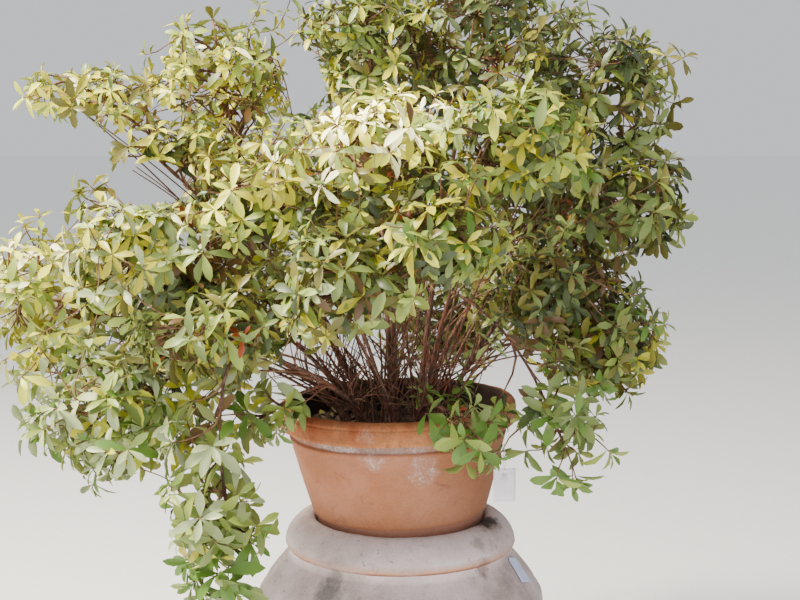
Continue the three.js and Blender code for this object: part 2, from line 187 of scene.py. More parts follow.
def even_line(points, step):
    """The same line cut into stretches no longer than the step"""
    line = [np.array(points[0], float)]
    for end in points[1:]:
        start, end = line[-1], np.array(end, float)
        cuts = max(1, math.ceil(np.linalg.norm(end - start) / step))
        line += [start + (end - start) * k / cuts for k in range(1, cuts + 1)]
    return line


def turned(profile, steps):
    """A closed profile of radius and height in millimetres, turned about the axis"""
    shape = bmesh.new()
    verts = [shape.verts.new((radius * MM, 0.0, height * MM)) for radius, height in profile]
    edges = [shape.edges.new(pair) for pair in zip(verts, verts[1:])]
    bmesh.ops.spin(shape, geom=verts + edges, axis=(0, 0, 1), cent=(0, 0, 0),
                   angle=2 * math.pi, steps=steps, use_merge=True)
    bmesh.ops.remove_doubles(shape, verts=shape.verts, dist=0.1 * MM)
    bmesh.ops.recalc_face_normals(shape, faces=shape.faces)
    return shape


def uneven(shape, depth, scale, seed):
    """Moves a hand-made surface in and out by a depth, with dents of a given size"""
    shape.normal_update()
    shift = Vector((seed, seed, seed))
    moves = [vert.normal * depth * noise.fractal(vert.co / scale + shift, 1.0, 2.0, 3)
             for vert in shape.verts]
    for vert, move in zip(shape.verts, moves):
        vert.co += move


def place_mesh(mesh, finishes, nodes):
    """Puts a finished mesh in the scene, and says what it rides on, is made of and replaces"""
    mesh.shade_smooth()
    for finish in finishes:
        mesh.materials.append(finish)
    piece = bpy.data.objects.new(mesh.name, mesh)
    bpy.context.collection.objects.link(piece)
    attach(piece, "root")
    if nodes:
        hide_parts(*nodes)


def add_piece(name, shape, finishes, nodes=(), placed=Matrix()):
    """Makes a finished piece of a bmesh, with its place in its mesh"""
    shape.transform(placed)
    mesh = bpy.data.meshes.new(name)
    shape.to_mesh(mesh)
    shape.free()
    place_mesh(mesh, finishes, nodes)


jar_body = smooth_line(jar_outline, 56)
jar_lip = [(lip_top + (jar_lip_radius - lip_top) * math.cos(a) ** lip_flatness,
            jar_lip_edge + (jar_height - jar_lip_edge) * math.sin(a) ** lip_flatness)
           for a in np.linspace(0, math.pi / 2, 14)]
jar_throat = [(jar_mouth_radius + 3.0, jar_height), (jar_mouth_radius - 4.0, jar_height - 3.0),
              (pot_foot_radius + pot_taper * (seat_depth - 10.0) + 0.6, jar_height - 10.0),
              (pot_foot_radius + 0.6, jar_height - seat_depth)]
jar_inside = [(radius - jar_wall, height) for radius, height in reversed(jar_body)
              if 1.5 * jar_wall < height < jar_neck_height - jar_wall]
jar_profile = ([(0.0, 0.0), (60.0, 0.0), (120.0, 0.0)] + [tuple(p) for p in jar_body]
               + [(jar_neck_radius - 1.5, 529.0), (jar_neck_radius, 535.5),
                  (jar_lip_radius - 2.0, 539.0), (jar_lip_radius + 1.0, 546.0)]
               + jar_lip + jar_throat + jar_inside
               + [(jar_foot_radius - 35.0, jar_wall), (0.0, jar_wall)])
jar_shape = turned(even_line(jar_profile, step=9.0), steps=176)
standing = [vert for vert in jar_shape.verts if vert.co.z < 1 * MM]
uneven(jar_shape, depth=1.6 * MM, scale=0.11, seed=3.0)
uneven(jar_shape, depth=0.5 * MM, scale=0.016, seed=8.0)
for vert in standing:
    vert.co.z = 0.0
# The uneven throat is opened a little, clear of the pot's foot
for vert in jar_shape.verts:
    from_middle = Vector((vert.co.x, vert.co.y))
    if from_middle.length < (jar_mouth_radius + 2.0) * MM and vert.co.z > 0.54:
        outward = from_middle.normalized()
        vert.co.x += outward.x * throat_widening * MM
        vert.co.y += outward.y * throat_widening * MM

# Weathered earthenware: dull and chalky, mottled over a hand's width, gritty close to. A
# pattern's scale is 1000 over its size in millimetres: clouds 170, blotches 75, specks 13, and
# pits 10 and grit 4, which are both drawn coarser than they are so that they show
jar_clay, tree, shader = new_finish("weathered_fired_earthenware", 0.88, 0.25)
where = add_node(tree, "TexCoord", {}).outputs["Object"]
clouds = add_node(tree, "TexNoise", {
    "Vector": where, "Scale": 6.0, "Detail": 6.0, "Roughness": 0.6})
body_tone = add_node(tree, "ValToRGB", {"Fac": clouds},
                     stops=((0.32, "#95847f"), (0.5, "#c0aeab"), (0.68, "#d6c9c9")))
split_place = add_node(tree, "SeparateXYZ", {"Vector": where})
# The lip's lower edge is worn warm. Under it, in the undercut, lies a thin dark line of painted
# shadow
edge_height = add_node(tree, "MapRange", {
    "Value": split_place.outputs["Z"], "From Min": 0.541, "From Max": 0.556, "To Min": 0.9,
    "To Max": 0.0})
above_neck = add_node(tree, "Math", {0: split_place.outputs["Z"], 1: 0.536},
                      operation="GREATER_THAN")
edge_wear = add_node(tree, "MapRange", {
    "Value": clouds, "From Min": 0.38, "From Max": 0.56, "To Min": 0.35})
worn_and_shadowed_edge = add_node(tree, "Math", {0: edge_height, 1: edge_wear}, operation="MULTIPLY")
worn_and_shadowed_edge_share = add_node(tree, "Math", {0: worn_and_shadowed_edge, 1: above_neck}, operation="MULTIPLY")
lip_undercut_shadow_fade = add_node(tree, "MapRange", {
    "Value": split_place.outputs["Z"], "From Min": 0.5385, "From Max": 0.5415})
worn_edge_and_shadow_tone = add_node(tree, "Mix", {
    "Factor": lip_undercut_shadow_fade, "A": linear("#7a4630"), "B": linear("#b8825c")}, data_type="RGBA")
clay_tone = add_node(tree, "Mix", {"Factor": worn_and_shadowed_edge_share, "A": body_tone, "B": worn_edge_and_shadow_tone},
                     data_type="RGBA")
blotches = add_node(tree, "TexNoise", {
    "Vector": where, "Scale": 13.0, "Detail": 8.0, "Roughness": 0.68, "Distortion": 0.6})
stains = add_node(tree, "MapRange", {
    "Value": blotches, "From Min": 0.57, "From Max": 0.7, "To Max": 0.6})
# The layers over the clay, from the lowest up, each as its share and colour
layers = [(stains, "#6b5f57")]
# Dark patches at the mouth beside the pot, partly a damp run and partly painted shadow of the
# gap between pot and jar; stains lower on the lip and under it; and soot on the shoulder at the
# left
stain_and_shadow_edge = add_node(tree, "TexNoise", {
    "Vector": where, "Scale": 55.0, "Detail": 5.0, "Roughness": 0.7})
for stain_and_shadow_place, stain_and_shadow_size, stain_and_shadow_depth, stain_and_shadow_tone in (
        ((0.172, -0.082, 0.600), 0.038, 0.94, "#30261f"),
        ((0.186, -0.060, 0.600), 0.032, 0.9, "#382e28"),
        ((0.160, -0.168, 0.584), 0.022, 0.5, "#6f695a"),
        ((-0.147, -0.222, 0.496), 0.040, 0.75, "#5d5a58"),
        ((-0.128, -0.200, 0.520), 0.026, 0.6, "#6a6562"),
        ((0.165, -0.17, 0.535), 0.024, 0.6, "#6a4f45")):
    stain_and_shadow_distance = add_node(tree, "VectorMath", {0: where, 1: stain_and_shadow_place}, operation="DISTANCE")
    stain_and_shadow_reach = add_node(tree, "Math", {0: stain_and_shadow_edge, 1: 1.6 * stain_and_shadow_size, 2: stain_and_shadow_distance},
                         operation="MULTIPLY_ADD")
    stain_and_shadow_share = add_node(tree, "MapRange", {
        "Value": stain_and_shadow_reach, "From Min": 1.25 * stain_and_shadow_size, "From Max": 1.8 * stain_and_shadow_size,
        "To Min": stain_and_shadow_depth, "To Max": 0.0})
    layers.append((stain_and_shadow_share, stain_and_shadow_tone))
speck_noise = add_node(tree, "TexNoise", {
    "Vector": where, "Scale": 75.0, "Detail": 3.0, "Roughness": 0.6})
specks = add_node(tree, "MapRange", {
    "Value": speck_noise, "From Min": 0.66, "From Max": 0.72, "To Max": 0.6})
layers.append((specks, "#74584c"))
for share, tone in layers:
    clay_tone = add_node(tree, "Mix", {"Factor": share, "A": clay_tone, "B": linear(tone)},
                         data_type="RGBA")
grit = add_node(tree, "TexNoise", {
    "Vector": where, "Scale": 240.0, "Detail": 4.0, "Roughness": 0.7})
grit_tone = add_node(tree, "Mix", {"Factor": 0.6, "A": clay_tone, "B": grit},
                     data_type="RGBA", blend_type="SOFT_LIGHT")
pits = add_node(tree, "TexVoronoi", {"Vector": where, "Scale": 95.0})
pit_depth = add_node(tree, "MapRange", {"Value": pits, "From Max": 0.25})
surface = add_node(tree, "Math", {0: grit, 1: 0.5, 2: pit_depth}, operation="MULTIPLY_ADD")
relief = add_node(tree, "Bump", {"Strength": 0.5, "Distance": 0.0008, "Height": surface})
set_inputs(tree, shader, {"Base Color": grit_tone, "Normal": relief})
add_piece("oil_jar", jar_shape, [jar_clay], ["jar"])

# Label on the jar
# Slip of white paper, blank, glued on askew just under the lip, to the right.
label_width, label_thickness, label_slope = 44.0, 0.4, -12.0
label_top, label_foot = (-13.5, 519.0), (-17.8, 474.0)
shoulder_heights = [point[1] for point in jar_body]
shoulder_radii = [point[0] for point in jar_body]
label_shape = bmesh.new()
label_grid = bmesh.ops.create_grid(label_shape, x_segments=6, y_segments=14, size=0.5)
for vert in label_grid["verts"]:
    along, across = vert.co.y + 0.5, vert.co.x
    height = label_foot[1] + (label_top[1] - label_foot[1]) * along + label_slope * across
    radius = float(np.interp(height, shoulder_heights, shoulder_radii)) + 1.6
    bearing = math.radians(label_foot[0] + (label_top[0] - label_foot[0]) * along)
    bearing += across * label_width / radius
    vert.co = Vector((radius * math.cos(bearing), radius * math.sin(bearing), height)) * MM
bmesh.ops.solidify(label_shape, geom=label_shape.faces[:], thickness=label_thickness * MM)
bmesh.ops.recalc_face_normals(label_shape, faces=label_shape.faces)
# Coated paper: clean white with a faint gloss, painted a darker bluish grey for the cool shade
# it is seen in, and slightly cockled by damp, 17 mm apart
paper, tree, shader = new_finish("coated_white_paper", 0.55, 0.4)
where = add_node(tree, "TexCoord", {}).outputs["Object"]
cockle = add_node(tree, "TexNoise", {"Vector": where, "Scale": 60.0, "Detail": 2.0})
shaded_paper_tone = add_node(tree, "Mix", {
    "Factor": cockle, "A": linear("#b2bce4"), "B": linear("#d6ddf8")}, data_type="RGBA")
relief = add_node(tree, "Bump", {"Strength": 0.3, "Distance": 0.001, "Height": cockle})
set_inputs(tree, shader, {"Base Color": shaded_paper_tone, "Normal": relief})
add_piece("jar_label", label_shape, [paper])

# Pot
# Hand-pressed terracotta pot with a foot set back a little, a plain band under the rim, where
# lime has bloomed white, and a thick rolled rim. Orange-brown, paler and pinker on the body.
pot_height, pot_rim_radius, pot_wall, pot_floor = 290.0, 250.0, 22.0, 28.0
rim_foot, band_foot, foot_ring = 241.0, 219.0, 58.0
pot_lean = math.radians(1.6)
chip_size, chip_level, deepest_chip, chip_depth = 0.018, 0.42, 0.2, 16.0
planted = (Matrix.Translation((seat_depth * math.sin(pot_lean) * MM, 0.0,
                               (jar_height - seat_depth) * MM))
           @ Matrix.Rotation(-pot_lean, 4, "Y"))


def pot_radius(height):
    return pot_foot_radius + pot_taper * height


def pot_inside(height):
    return pot_radius(height) - pot_wall


rim_section = [(pot_radius(rim_foot) - 2.0, rim_foot), (246.0, rim_foot + 1.0),
               (248.5, rim_foot + 4.0), (249.0, 258.0), (pot_rim_radius, 271.0), (249.4, 274.5),
               (248.4, 276.0), (249.2, 277.8), (248.6, 282.0), (245.5, 286.0), (240.0, 289.0),
               (232.0, 290.0), (226.0, 288.5), (222.0, 284.0),
               (221.0, 276.0), (219.0, 262.0), (pot_inside(rim_foot), rim_foot - 12.0)]
pot_profile = ([(0.0, 0.0), (80.0, 0.0), (pot_foot_radius - 4.0, 0.0), (pot_foot_radius, 4.0),
                (pot_radius(foot_ring) - 3.5, foot_ring - 3.0),
                (pot_radius(foot_ring) - 2.0, foot_ring - 0.5),
                (pot_radius(foot_ring) + 1.0, foot_ring + 2.5),
                (pot_radius(140.0) + 2.0, 140.0), (pot_radius(band_foot) + 0.5, band_foot - 4.0),
                (pot_radius(band_foot) + 2.0, band_foot),
                (pot_radius(band_foot) + 1.0, band_foot + 3.0),
                (pot_radius(band_foot) - 2.5, band_foot + 5.0),
                (pot_radius(230.0) - 3.5, 230.0)]
               + rim_section
               + [(pot_inside(42.0), 42.0), (pot_inside(pot_floor) - 14.0, pot_floor),
                  (0.0, pot_floor)])
pot_shape = turned(even_line(pot_profile, step=6.0), steps=192)
uneven(pot_shape, depth=1.3 * MM, scale=0.09, seed=21.0)
uneven(pot_shape, depth=0.45 * MM, scale=0.014, seed=5.0)
for vert in pot_shape.verts:
    vert.co.z = max(vert.co.z, 0.0)
    chip = noise.noise(vert.co / chip_size) - chip_level
    if vert.co.z > 0.276 and chip > 0:
        vert.co.z -= min(chip, deepest_chip) * chip_depth * MM

# Fired terracotta, in the pot's own upright frame: warm clay, lime bloom, soil and algae
# stains. Its patterns, in millimetres: clouds 140, smudges 60, stains 40, clumps of lime 20 and
# flakes 5. The lines left by throwing, 20, and the grain, 3, are drawn coarse so that they show
pot_clay, tree, shader = new_finish("fired_terracotta", 0.82, 0.3)
where = add_node(tree, "TexCoord", {}).outputs["Object"]
where = add_node(tree, "Mapping", {
    "Vector": where, "Location": tuple(planted.inverted().translation),
    "Rotation": (0.0, pot_lean, 0.0)})
split_place = add_node(tree, "SeparateXYZ", {"Vector": where})
height_up = split_place.outputs["Z"]
clouds = add_node(tree, "TexNoise", {
    "Vector": where, "Scale": 7.0, "Detail": 6.0, "Roughness": 0.55})
body_tone = add_node(tree, "ValToRGB", {"Fac": clouds},
                     stops=((0.3, "#995c36"), (0.62, "#ab755b")))
rim_tone = add_node(tree, "ValToRGB", {"Fac": clouds}, stops=((0.4, "#7c3b19"), (0.6, "#b6784c")))
rim_share = add_node(tree, "MapRange", {"Value": height_up, "From Min": 0.214, "From Max": 0.243})
clay_tone = add_node(tree, "Mix", {"Factor": rim_share, "A": body_tone, "B": rim_tone},
                     data_type="RGBA")
smudges = add_node(tree, "TexNoise", {
    "Vector": where, "Scale": 16.0, "Detail": 9.0, "Roughness": 0.72, "Distortion": 0.4})
smudge_share = add_node(tree, "MapRange", {
    "Value": smudges, "From Min": 0.46, "From Max": 0.64, "To Max": 0.45})
# The clay is painted browner with shade towards the right side, and low on the body next to
# the jar's lip. The ring at the foot is paler
painted_shade_right = add_node(tree, "MapRange", {
    "Value": split_place.outputs["X"], "From Max": 0.2, "To Max": 0.75})
painted_shade_low = add_node(tree, "MapRange", {
    "Value": height_up, "From Min": 0.06, "From Max": 0.14, "To Min": 0.5, "To Max": 0.0})
painted_shade_share = add_node(tree, "Math", {0: painted_shade_right, 1: painted_shade_low}, operation="MAXIMUM")
foot_share = add_node(tree, "MapRange", {
    "Value": height_up, "From Min": 0.055, "From Max": 0.06, "To Min": 0.75, "To Max": 0.0})
# Grey dust lies in the groove under the rim
groove_rise = add_node(tree, "MapRange", {
    "Value": height_up, "From Min": 0.222, "From Max": 0.2255})
groove_fall = add_node(tree, "MapRange", {
    "Value": height_up, "From Min": 0.237, "From Max": 0.2415, "To Min": 1.0, "To Max": 0.0})
groove = add_node(tree, "Math", {0: groove_rise, 1: groove_fall}, operation="MULTIPLY")
from_front = add_node(tree, "VectorMath", {0: where, 1: (-0.06, -0.22, 0.231)},
                      operation="DISTANCE")
groove_front = add_node(tree, "MapRange", {
    "Value": from_front, "From Min": 0.09, "From Max": 0.135, "To Min": 0.76, "To Max": 0.3})
groove_dust = add_node(tree, "Math", {0: groove, 1: groove_front}, operation="MULTIPLY")
# Lime: a broken crust in the groove under the rim, and a thin bloom with flakes that thins out
# round a few places, each given with its reach and its share
flakes = add_node(tree, "TexNoise", {
    "Vector": where, "Scale": 190.0, "Detail": 6.0, "Roughness": 0.72})
drift = add_node(tree, "TexNoise", {"Vector": where, "Scale": 11.0, "Detail": 4.0})
groove_drift = add_node(tree, "MapRange", {
    "Value": drift, "From Min": 0.38, "From Max": 0.56, "To Min": 0.6, "To Max": 1.3})
groove_amount = add_node(tree, "Math", {0: groove_drift, 1: groove_front}, operation="MULTIPLY")
lime_near = add_node(tree, "Math", {0: groove, 1: groove_amount}, operation="MULTIPLY")
for patch_place, patch_reach, patch_share in (
        ((0.05, -0.212, 0.186), 0.05, 0.9), ((0.046, -0.218, 0.205), 0.03, 0.8),
        ((-0.044, -0.219, 0.208), 0.035, 0.75), ((-0.06, -0.217, 0.212), 0.03, 0.7),
        ((-0.062, -0.241, 0.266), 0.034, 0.45), ((0.2, 0.08, 0.18), 0.08, 0.8),
        ((-0.12, 0.18, 0.17), 0.09, 0.8)):
    far = add_node(tree, "VectorMath", {0: where, 1: patch_place}, operation="DISTANCE")
    near = add_node(tree, "MapRange", {
        "Value": far, "From Min": 0.2 * patch_reach, "From Max": patch_reach,
        "To Min": patch_share, "To Max": 0.0}, interpolation_type="SMOOTHSTEP")
    lime_near = add_node(tree, "Math", {0: lime_near, 1: near}, operation="MAXIMUM")
clumps = add_node(tree, "TexNoise", {"Vector": where, "Scale": 48.0, "Detail": 3.0})
clumped = add_node(tree, "MapRange", {
    "Value": clumps, "From Min": 0.4, "From Max": 0.62, "To Min": 0.5, "To Max": 1.15})
lime_near = add_node(tree, "Math", {0: lime_near, 1: clumped}, operation="MULTIPLY")
bloom = add_node(tree, "MapRange", {
    "Value": lime_near, "From Min": 0.15, "From Max": 0.85, "To Max": 0.34})
flaked = add_node(tree, "Math", {0: lime_near, 1: 0.26, 2: flakes}, operation="MULTIPLY_ADD")
lime = add_node(tree, "MapRange", {
    "Value": flaked, "From Min": 0.66, "From Max": 0.78, "To Max": 0.6})
# Stains: scattered soot and algae outside, and more of them on the rim. The inner wall above
# the soil is painted near black with shadow
blotches = add_node(tree, "TexNoise", {
    "Vector": where, "Scale": 24.0, "Detail": 8.0, "Roughness": 0.7, "Distortion": 0.8})
blotched = add_node(tree, "Math", {0: rim_share, 1: 0.07, 2: blotches}, operation="MULTIPLY_ADD")
stains = add_node(tree, "MapRange", {
    "Value": blotched, "From Min": 0.58, "From Max": 0.7, "To Max": 0.6})
from_axis = add_node(tree, "VectorMath", {0: where, 1: (1.0, 1.0, 0.0)}, operation="MULTIPLY")
axis_distance = add_node(tree, "VectorMath", {0: from_axis}, operation="LENGTH")
wall_place = add_node(tree, "Math", {0: height_up, 1: -pot_taper, 2: axis_distance},
                      operation="MULTIPLY_ADD")
ragged = add_node(tree, "Math", {0: drift, 1: 0.008, 2: wall_place}, operation="MULTIPLY_ADD")
inner = add_node(tree, "MapRange", {
    "Value": ragged, "From Min": 0.155, "From Max": 0.161, "To Min": 0.98, "To Max": 0.0})
# The layers over the clay, from the lowest up, each as its share and colour
for share, tone in ((smudge_share, "#8f6045"), (painted_shade_share, "#7a4f32"),
                    (foot_share, "#8f6455"), (groove_dust, "#766867"), (bloom, "#b3a099"),
                    (lime, "#c2b6b0"), (stains, "#6f4631"), (inner, "#241912")):
    clay_tone = add_node(tree, "Mix", {"Factor": share, "A": clay_tone, "B": linear(tone)},
                         data_type="RGBA")
grain = add_node(tree, "TexNoise", {
    "Vector": where, "Scale": 320.0, "Detail": 4.0, "Roughness": 0.7})
grained = add_node(tree, "Mix", {"Factor": 0.5, "A": clay_tone, "B": grain},
                   data_type="RGBA", blend_type="SOFT_LIGHT")
throwing = add_node(tree, "TexWave", {
    "Vector": where, "Scale": 50.0, "Distortion": 1.5, "Detail": 2.0}, bands_direction="Z")
lined = add_node(tree, "Math", {0: throwing.outputs["Fac"], 1: 0.35, 2: grain},
                 operation="MULTIPLY_ADD")
crust = add_node(tree, "Math", {0: lime, 1: 1.2, 2: lined}, operation="MULTIPLY_ADD")
relief = add_node(tree, "Bump", {"Strength": 0.45, "Distance": 0.0007, "Height": crust})
set_inputs(tree, shader, {"Base Color": grained, "Normal": relief})
add_piece("terracotta_pot", pot_shape, [pot_clay], ["pot"], planted)

# Soil
# Dark potting soil, flat on top and a little lower at the wall, crumbly, and set well below
# the rim.
soil_top, soil_flat_radius, soil_dip = 248.0, 170.0, 9.0
crumb_size, crumb_height = 0.024, 2.6
soil_profile = [(0.0, pot_floor + 0.3), (pot_inside(pot_floor) - 15.0, pot_floor + 0.3),
                (pot_inside(42.0) - 0.6, 42.3), (pot_inside(239.0) - 0.6, soil_top - soil_dip),
                (soil_flat_radius, soil_top), (0.0, soil_top)]
soil_shape = turned(even_line(soil_profile, step=5.0), steps=120)
for vert in soil_shape.verts:
    if vert.co.z > (soil_top - soil_dip - 1) * MM:
        crumb = noise.fractal(vert.co / crumb_size, 0.8, 2.2, 4)
        vert.co.z += crumb * crumb_height * MM
# Potting soil: dull, nearly black where it is wet, in crumbs of 6 mm with paler dry ones
soil_finish, tree, shader = new_finish("damp_potting_soil", 0.95, 0.2)
where = add_node(tree, "TexCoord", {}).outputs["Object"]
crumbs = add_node(tree, "TexVoronoi", {"Vector": where, "Scale": 170.0})
damp = add_node(tree, "TexNoise", {"Vector": where, "Scale": 30.0, "Detail": 5.0})
soil_mix = add_node(tree, "Math", {0: crumbs, 1: damp}, operation="MULTIPLY")
soil_tone = add_node(tree, "ValToRGB", {"Fac": soil_mix},
                     stops=((0.08, "#1f1712"), (0.4, "#4a3a2e")))
relief = add_node(tree, "Bump", {"Strength": 0.8, "Distance": 0.002, "Height": crumbs})
set_inputs(tree, shader, {"Base Color": soil_tone, "Normal": relief})
add_piece("potting_soil", soil_shape, [soil_finish], ["soil"], planted)

# Stems and boughs
# Thin woody stems that fan out from the soil, each with its side boughs. Grey-brown bark with
# shallow ridges along the limb and small knots. They run to the masses of foliage that they
# carry, given as name, bearing (0 is right, 90 the back), reach from the axis, height over
# the soil, half width and half height, in degrees and millimetres.
crown = [
    ("left_arm", 186, 62, 12, None, [
        ("arm_left", 186, 610, 700, 155, 72), ("left_upper", 172, 362, 770, 155, 145),
        ("left_shoulder", 195, 475, 570, 135, 115)]),
    ("left_spread", 195, 104, 11, None, [
        ("far_left", 192, 715, 300, 150, 155), ("left_low", 206, 605, 90, 165, 145)]),
    ("left_front_rise", 218, 96, 11, None, [
        ("left_middle", 212, 560, 400, 155, 135), ("left_front", 229, 485, 245, 140, 115)]),
    ("left_weeping", 237, 104, 10, (233, 425, 205), [
        ("weeping_left", 231, 540, -105, 130, 165), ("pot_left", 222, 350, 70, 90, 85)]),
    ("front_spread", 262, 100, 10, None, [("front_middle", 257, 440, 350, 140, 115)]),
    ("front_rise", 262, 52, 12, None, [
        ("front_upper", 268, 325, 580, 150, 125), ("front_left_upper", 228, 370, 500, 140, 120),
        ("front_right", 284, 425, 430, 105, 100)]),
    ("middle", 112, 28, 14, None, [
        ("top_middle", 200, 40, 790, 150, 145), ("top_back", 92, 290, 730, 180, 135)]),
    ("right_rise", 8, 48, 15, None, [
        ("top_right", 12, 215, 800, 165, 135), ("right_upper", 5, 465, 690, 160, 135)]),
    ("right_spread", 352, 98, 12, None, [
        ("right_middle", 0, 500, 440, 140, 120), ("right_inner", 344, 330, 305, 150, 125),
        ("right_low", 352, 470, 170, 120, 115)]),
    ("right_front", 318, 72, 11, None, [
        ("right_front_upper", 315, 365, 580, 150, 120),
        ("hanging_right", 316, 440, 50, 100, 125)]),
    ("front_low", 292, 104, 8, None, [("hanging_front", 290, 385, 70, 95, 90)]),
    ("back_right", 45, 90, 12, None, [("back_right_middle", 42, 500, 400, 200, 170)]),
    ("back", 92, 92, 12, None, [
        ("back_middle", 93, 470, 440, 180, 160), ("back_low", 75, 535, 140, 210, 140)]),
    ("back_left", 140, 92, 12, None, [
        ("back_left_middle", 142, 500, 430, 190, 170),
        ("back_left_low", 146, 550, 130, 190, 135)]),
]
stem_tip_radius, bent_tip_radius, bough_tip_radius = 5.0, 6.0, 4.4
root_flare, flare_length = 0.7, 0.2
limb_slimness = 0.54
first_fork, fork_step, bough_share, bough_follow, entry_share = 0.62, 0.17, 0.72, 0.3, 0.5
plant_frame = planted @ Matrix.Translation((0.0, 0.0, soil_top * MM)) @ Matrix.Scale(MM, 4)


def seeded(seed):
    """Random numbers between 0 and 1, the same on every run"""
    state = seed

    def draw():
        nonlocal state
        state = (state * 1664525 + 1013904223) % 4294967296
        return state / 4294967296
    return draw


def place(bearing, reach, height):
    angle = math.radians(bearing)
    return np.array([reach * math.cos(angle), reach * math.sin(angle), height], float)


def upward(height):
    return np.array([0.0, 0.0, height])


def unit(vector):
    return vector / np.linalg.norm(vector)


def column(things, key):
    """What each of many things says under a key, as an array"""
    return np.array([thing[key] for thing in things])


def named(things, name):
    return next(thing for thing in things if thing["name"] == name)


def on_curve(curve, t):
    """Point and direction at a share t of the way along a curve, given by its Bezier points"""
    layer = curve
    while len(layer) > 2:
        layer = [a + (b - a) * t for a, b in zip(layer, layer[1:])]
    return layer[0] + (layer[1] - layer[0]) * t, unit(layer[1] - layer[0])


def across(tangent, chord):
    """Two directions across a limb that runs along the tangent"""
    reference = np.array([1.0, 0.0, 0.0] if abs(chord[2]) > 0.8 else [0.0, 0.0, 1.0])
    side = unit(np.cross(reference, tangent))
    return side, np.cross(tangent, side)


def entry_point(start, mass):
    """The point short of the middle of a mass where its limb ends"""
    way = unit(mass["centre"] - start)
    level = math.hypot(way[0], way[1]) * mass["wide"]
    return mass["centre"] - way * entry_share * math.hypot(level, way[2] * mass["tall"])


masses = [dict(name=name, stem=stem, centre=place(bearing, reach, height), wide=wide, tall=tall,
               half=np.array([wide, wide, tall], float), size=(wide * wide * tall) ** (1 / 3))
          for stem, *_, carried in crown
          for name, bearing, reach, height, wide, tall in carried]
sway_draw = seeded(7)
limbs = []
for stem, bearing, foot_reach, base_radius, bend, _ in crown:
    carried = [mass for mass in masses if mass["stem"] == stem]
    first_mass = carried[0]
    foot = place(bearing, foot_reach, 0.3)
    sway = np.array([sway_draw() - 0.5, sway_draw() - 0.5, 0.0]) * 36
    above_foot = np.array([foot[0], foot[1], first_mass["centre"][2] / 2])
    tip = place(*bend) if bend else entry_point(above_foot, first_mass)
    knee = foot + (tip - foot) * 0.3
    knee[2] = foot[2] + max(0.62 * (tip[2] - foot[2]),
                            0.4 * math.hypot(tip[0] - foot[0], tip[1] - foot[1]))
    stem_curve = [foot, foot + upward(30.0), knee + sway, tip]
    thin = bent_tip_radius if bend else stem_tip_radius
    limbs.append(dict(name="stem_" + stem, stem=stem, curve=stem_curve, base=base_radius,
                      tip=thin, flare=root_flare, mass=None if bend else first_mass))
    if bend:
        point, along = on_curve(stem_curve, 1.0)
        end = entry_point(point, first_mass)
        bough = [point, point + along * np.linalg.norm(end - point) / 2, end]
        limbs.append(dict(name="bough_" + first_mass["name"], stem=stem, curve=bough, base=thin,
                          tip=bough_tip_radius, flare=0.0, mass=first_mass))
    for k, mass in enumerate(carried[1:]):
        t = first_fork - fork_step * k
        start, along = on_curve(stem_curve, t)
        flare = root_flare * base_radius * max(0, 1 - t / flare_length) ** 2
        radius = (base_radius + (thin - base_radius) * t + flare) * bough_share
        end = entry_point(start, mass)
        leave = unit(unit(end - start) * (1 - bough_follow) + along * bough_follow)
        bough = [start, start + leave * np.linalg.norm(end - start) / 2, end]
        limbs.append(dict(name="bough_" + mass["name"], stem=stem, curve=bough, base=radius,
                          tip=bough_tip_radius, flare=0.0, mass=mass))


def limb_shape(limb, sides, ring_step, seed):
    """A tapering limb: a cylinder cut into rings, bent along its curve, with ridges and knots"""
    length = sum(np.linalg.norm(on_curve(limb["curve"], (k + 1) / 20)[0]
                                - on_curve(limb["curve"], k / 20)[0]) for k in range(20))
    chord = unit(limb["curve"][-1] - limb["curve"][0])
    shape = bmesh.new()
    bmesh.ops.create_cone(shape, cap_ends=True, segments=sides, radius1=1.0, radius2=1.0,
                          depth=1.0)
    lengthwise = [edge for edge in shape.edges
                  if abs(edge.verts[0].co.z - edge.verts[1].co.z) > 0.5]
    bmesh.ops.subdivide_edges(shape, edges=lengthwise, cuts=int(length / ring_step))
    for vert in shape.verts:
        t = vert.co.z + 0.5
        point, tangent = on_curve(limb["curve"], t)
        side, up = across(tangent, chord)
        angle = math.atan2(vert.co.y, vert.co.x)
        radius = limb["base"] + (limb["tip"] - limb["base"]) * t
        radius += limb["base"] * limb["flare"] * max(0, 1 - t / flare_length) ** 2
        if not limb["flare"]:
            radius *= 1 + 0.45 * max(0, 1 - t * length / (2.5 * limb["base"])) ** 2
        ridge = noise.noise((math.cos(angle) * 2.2 + seed, math.sin(angle) * 2.2,
                             t * length / 55))
        knot = max(0, noise.noise((math.cos(angle) * 0.7, math.sin(angle) * 0.7 + seed,
                                   t * length / 22)) - 0.25)
        radius *= limb_slimness * (1 + 0.17 * ridge + 0.5 * knot)
        point = point + (side * math.sin(angle) + up * math.cos(angle)) * radius
        vert.co = Vector(point)
    bmesh.ops.recalc_face_normals(shape, faces=shape.faces)
    return shape


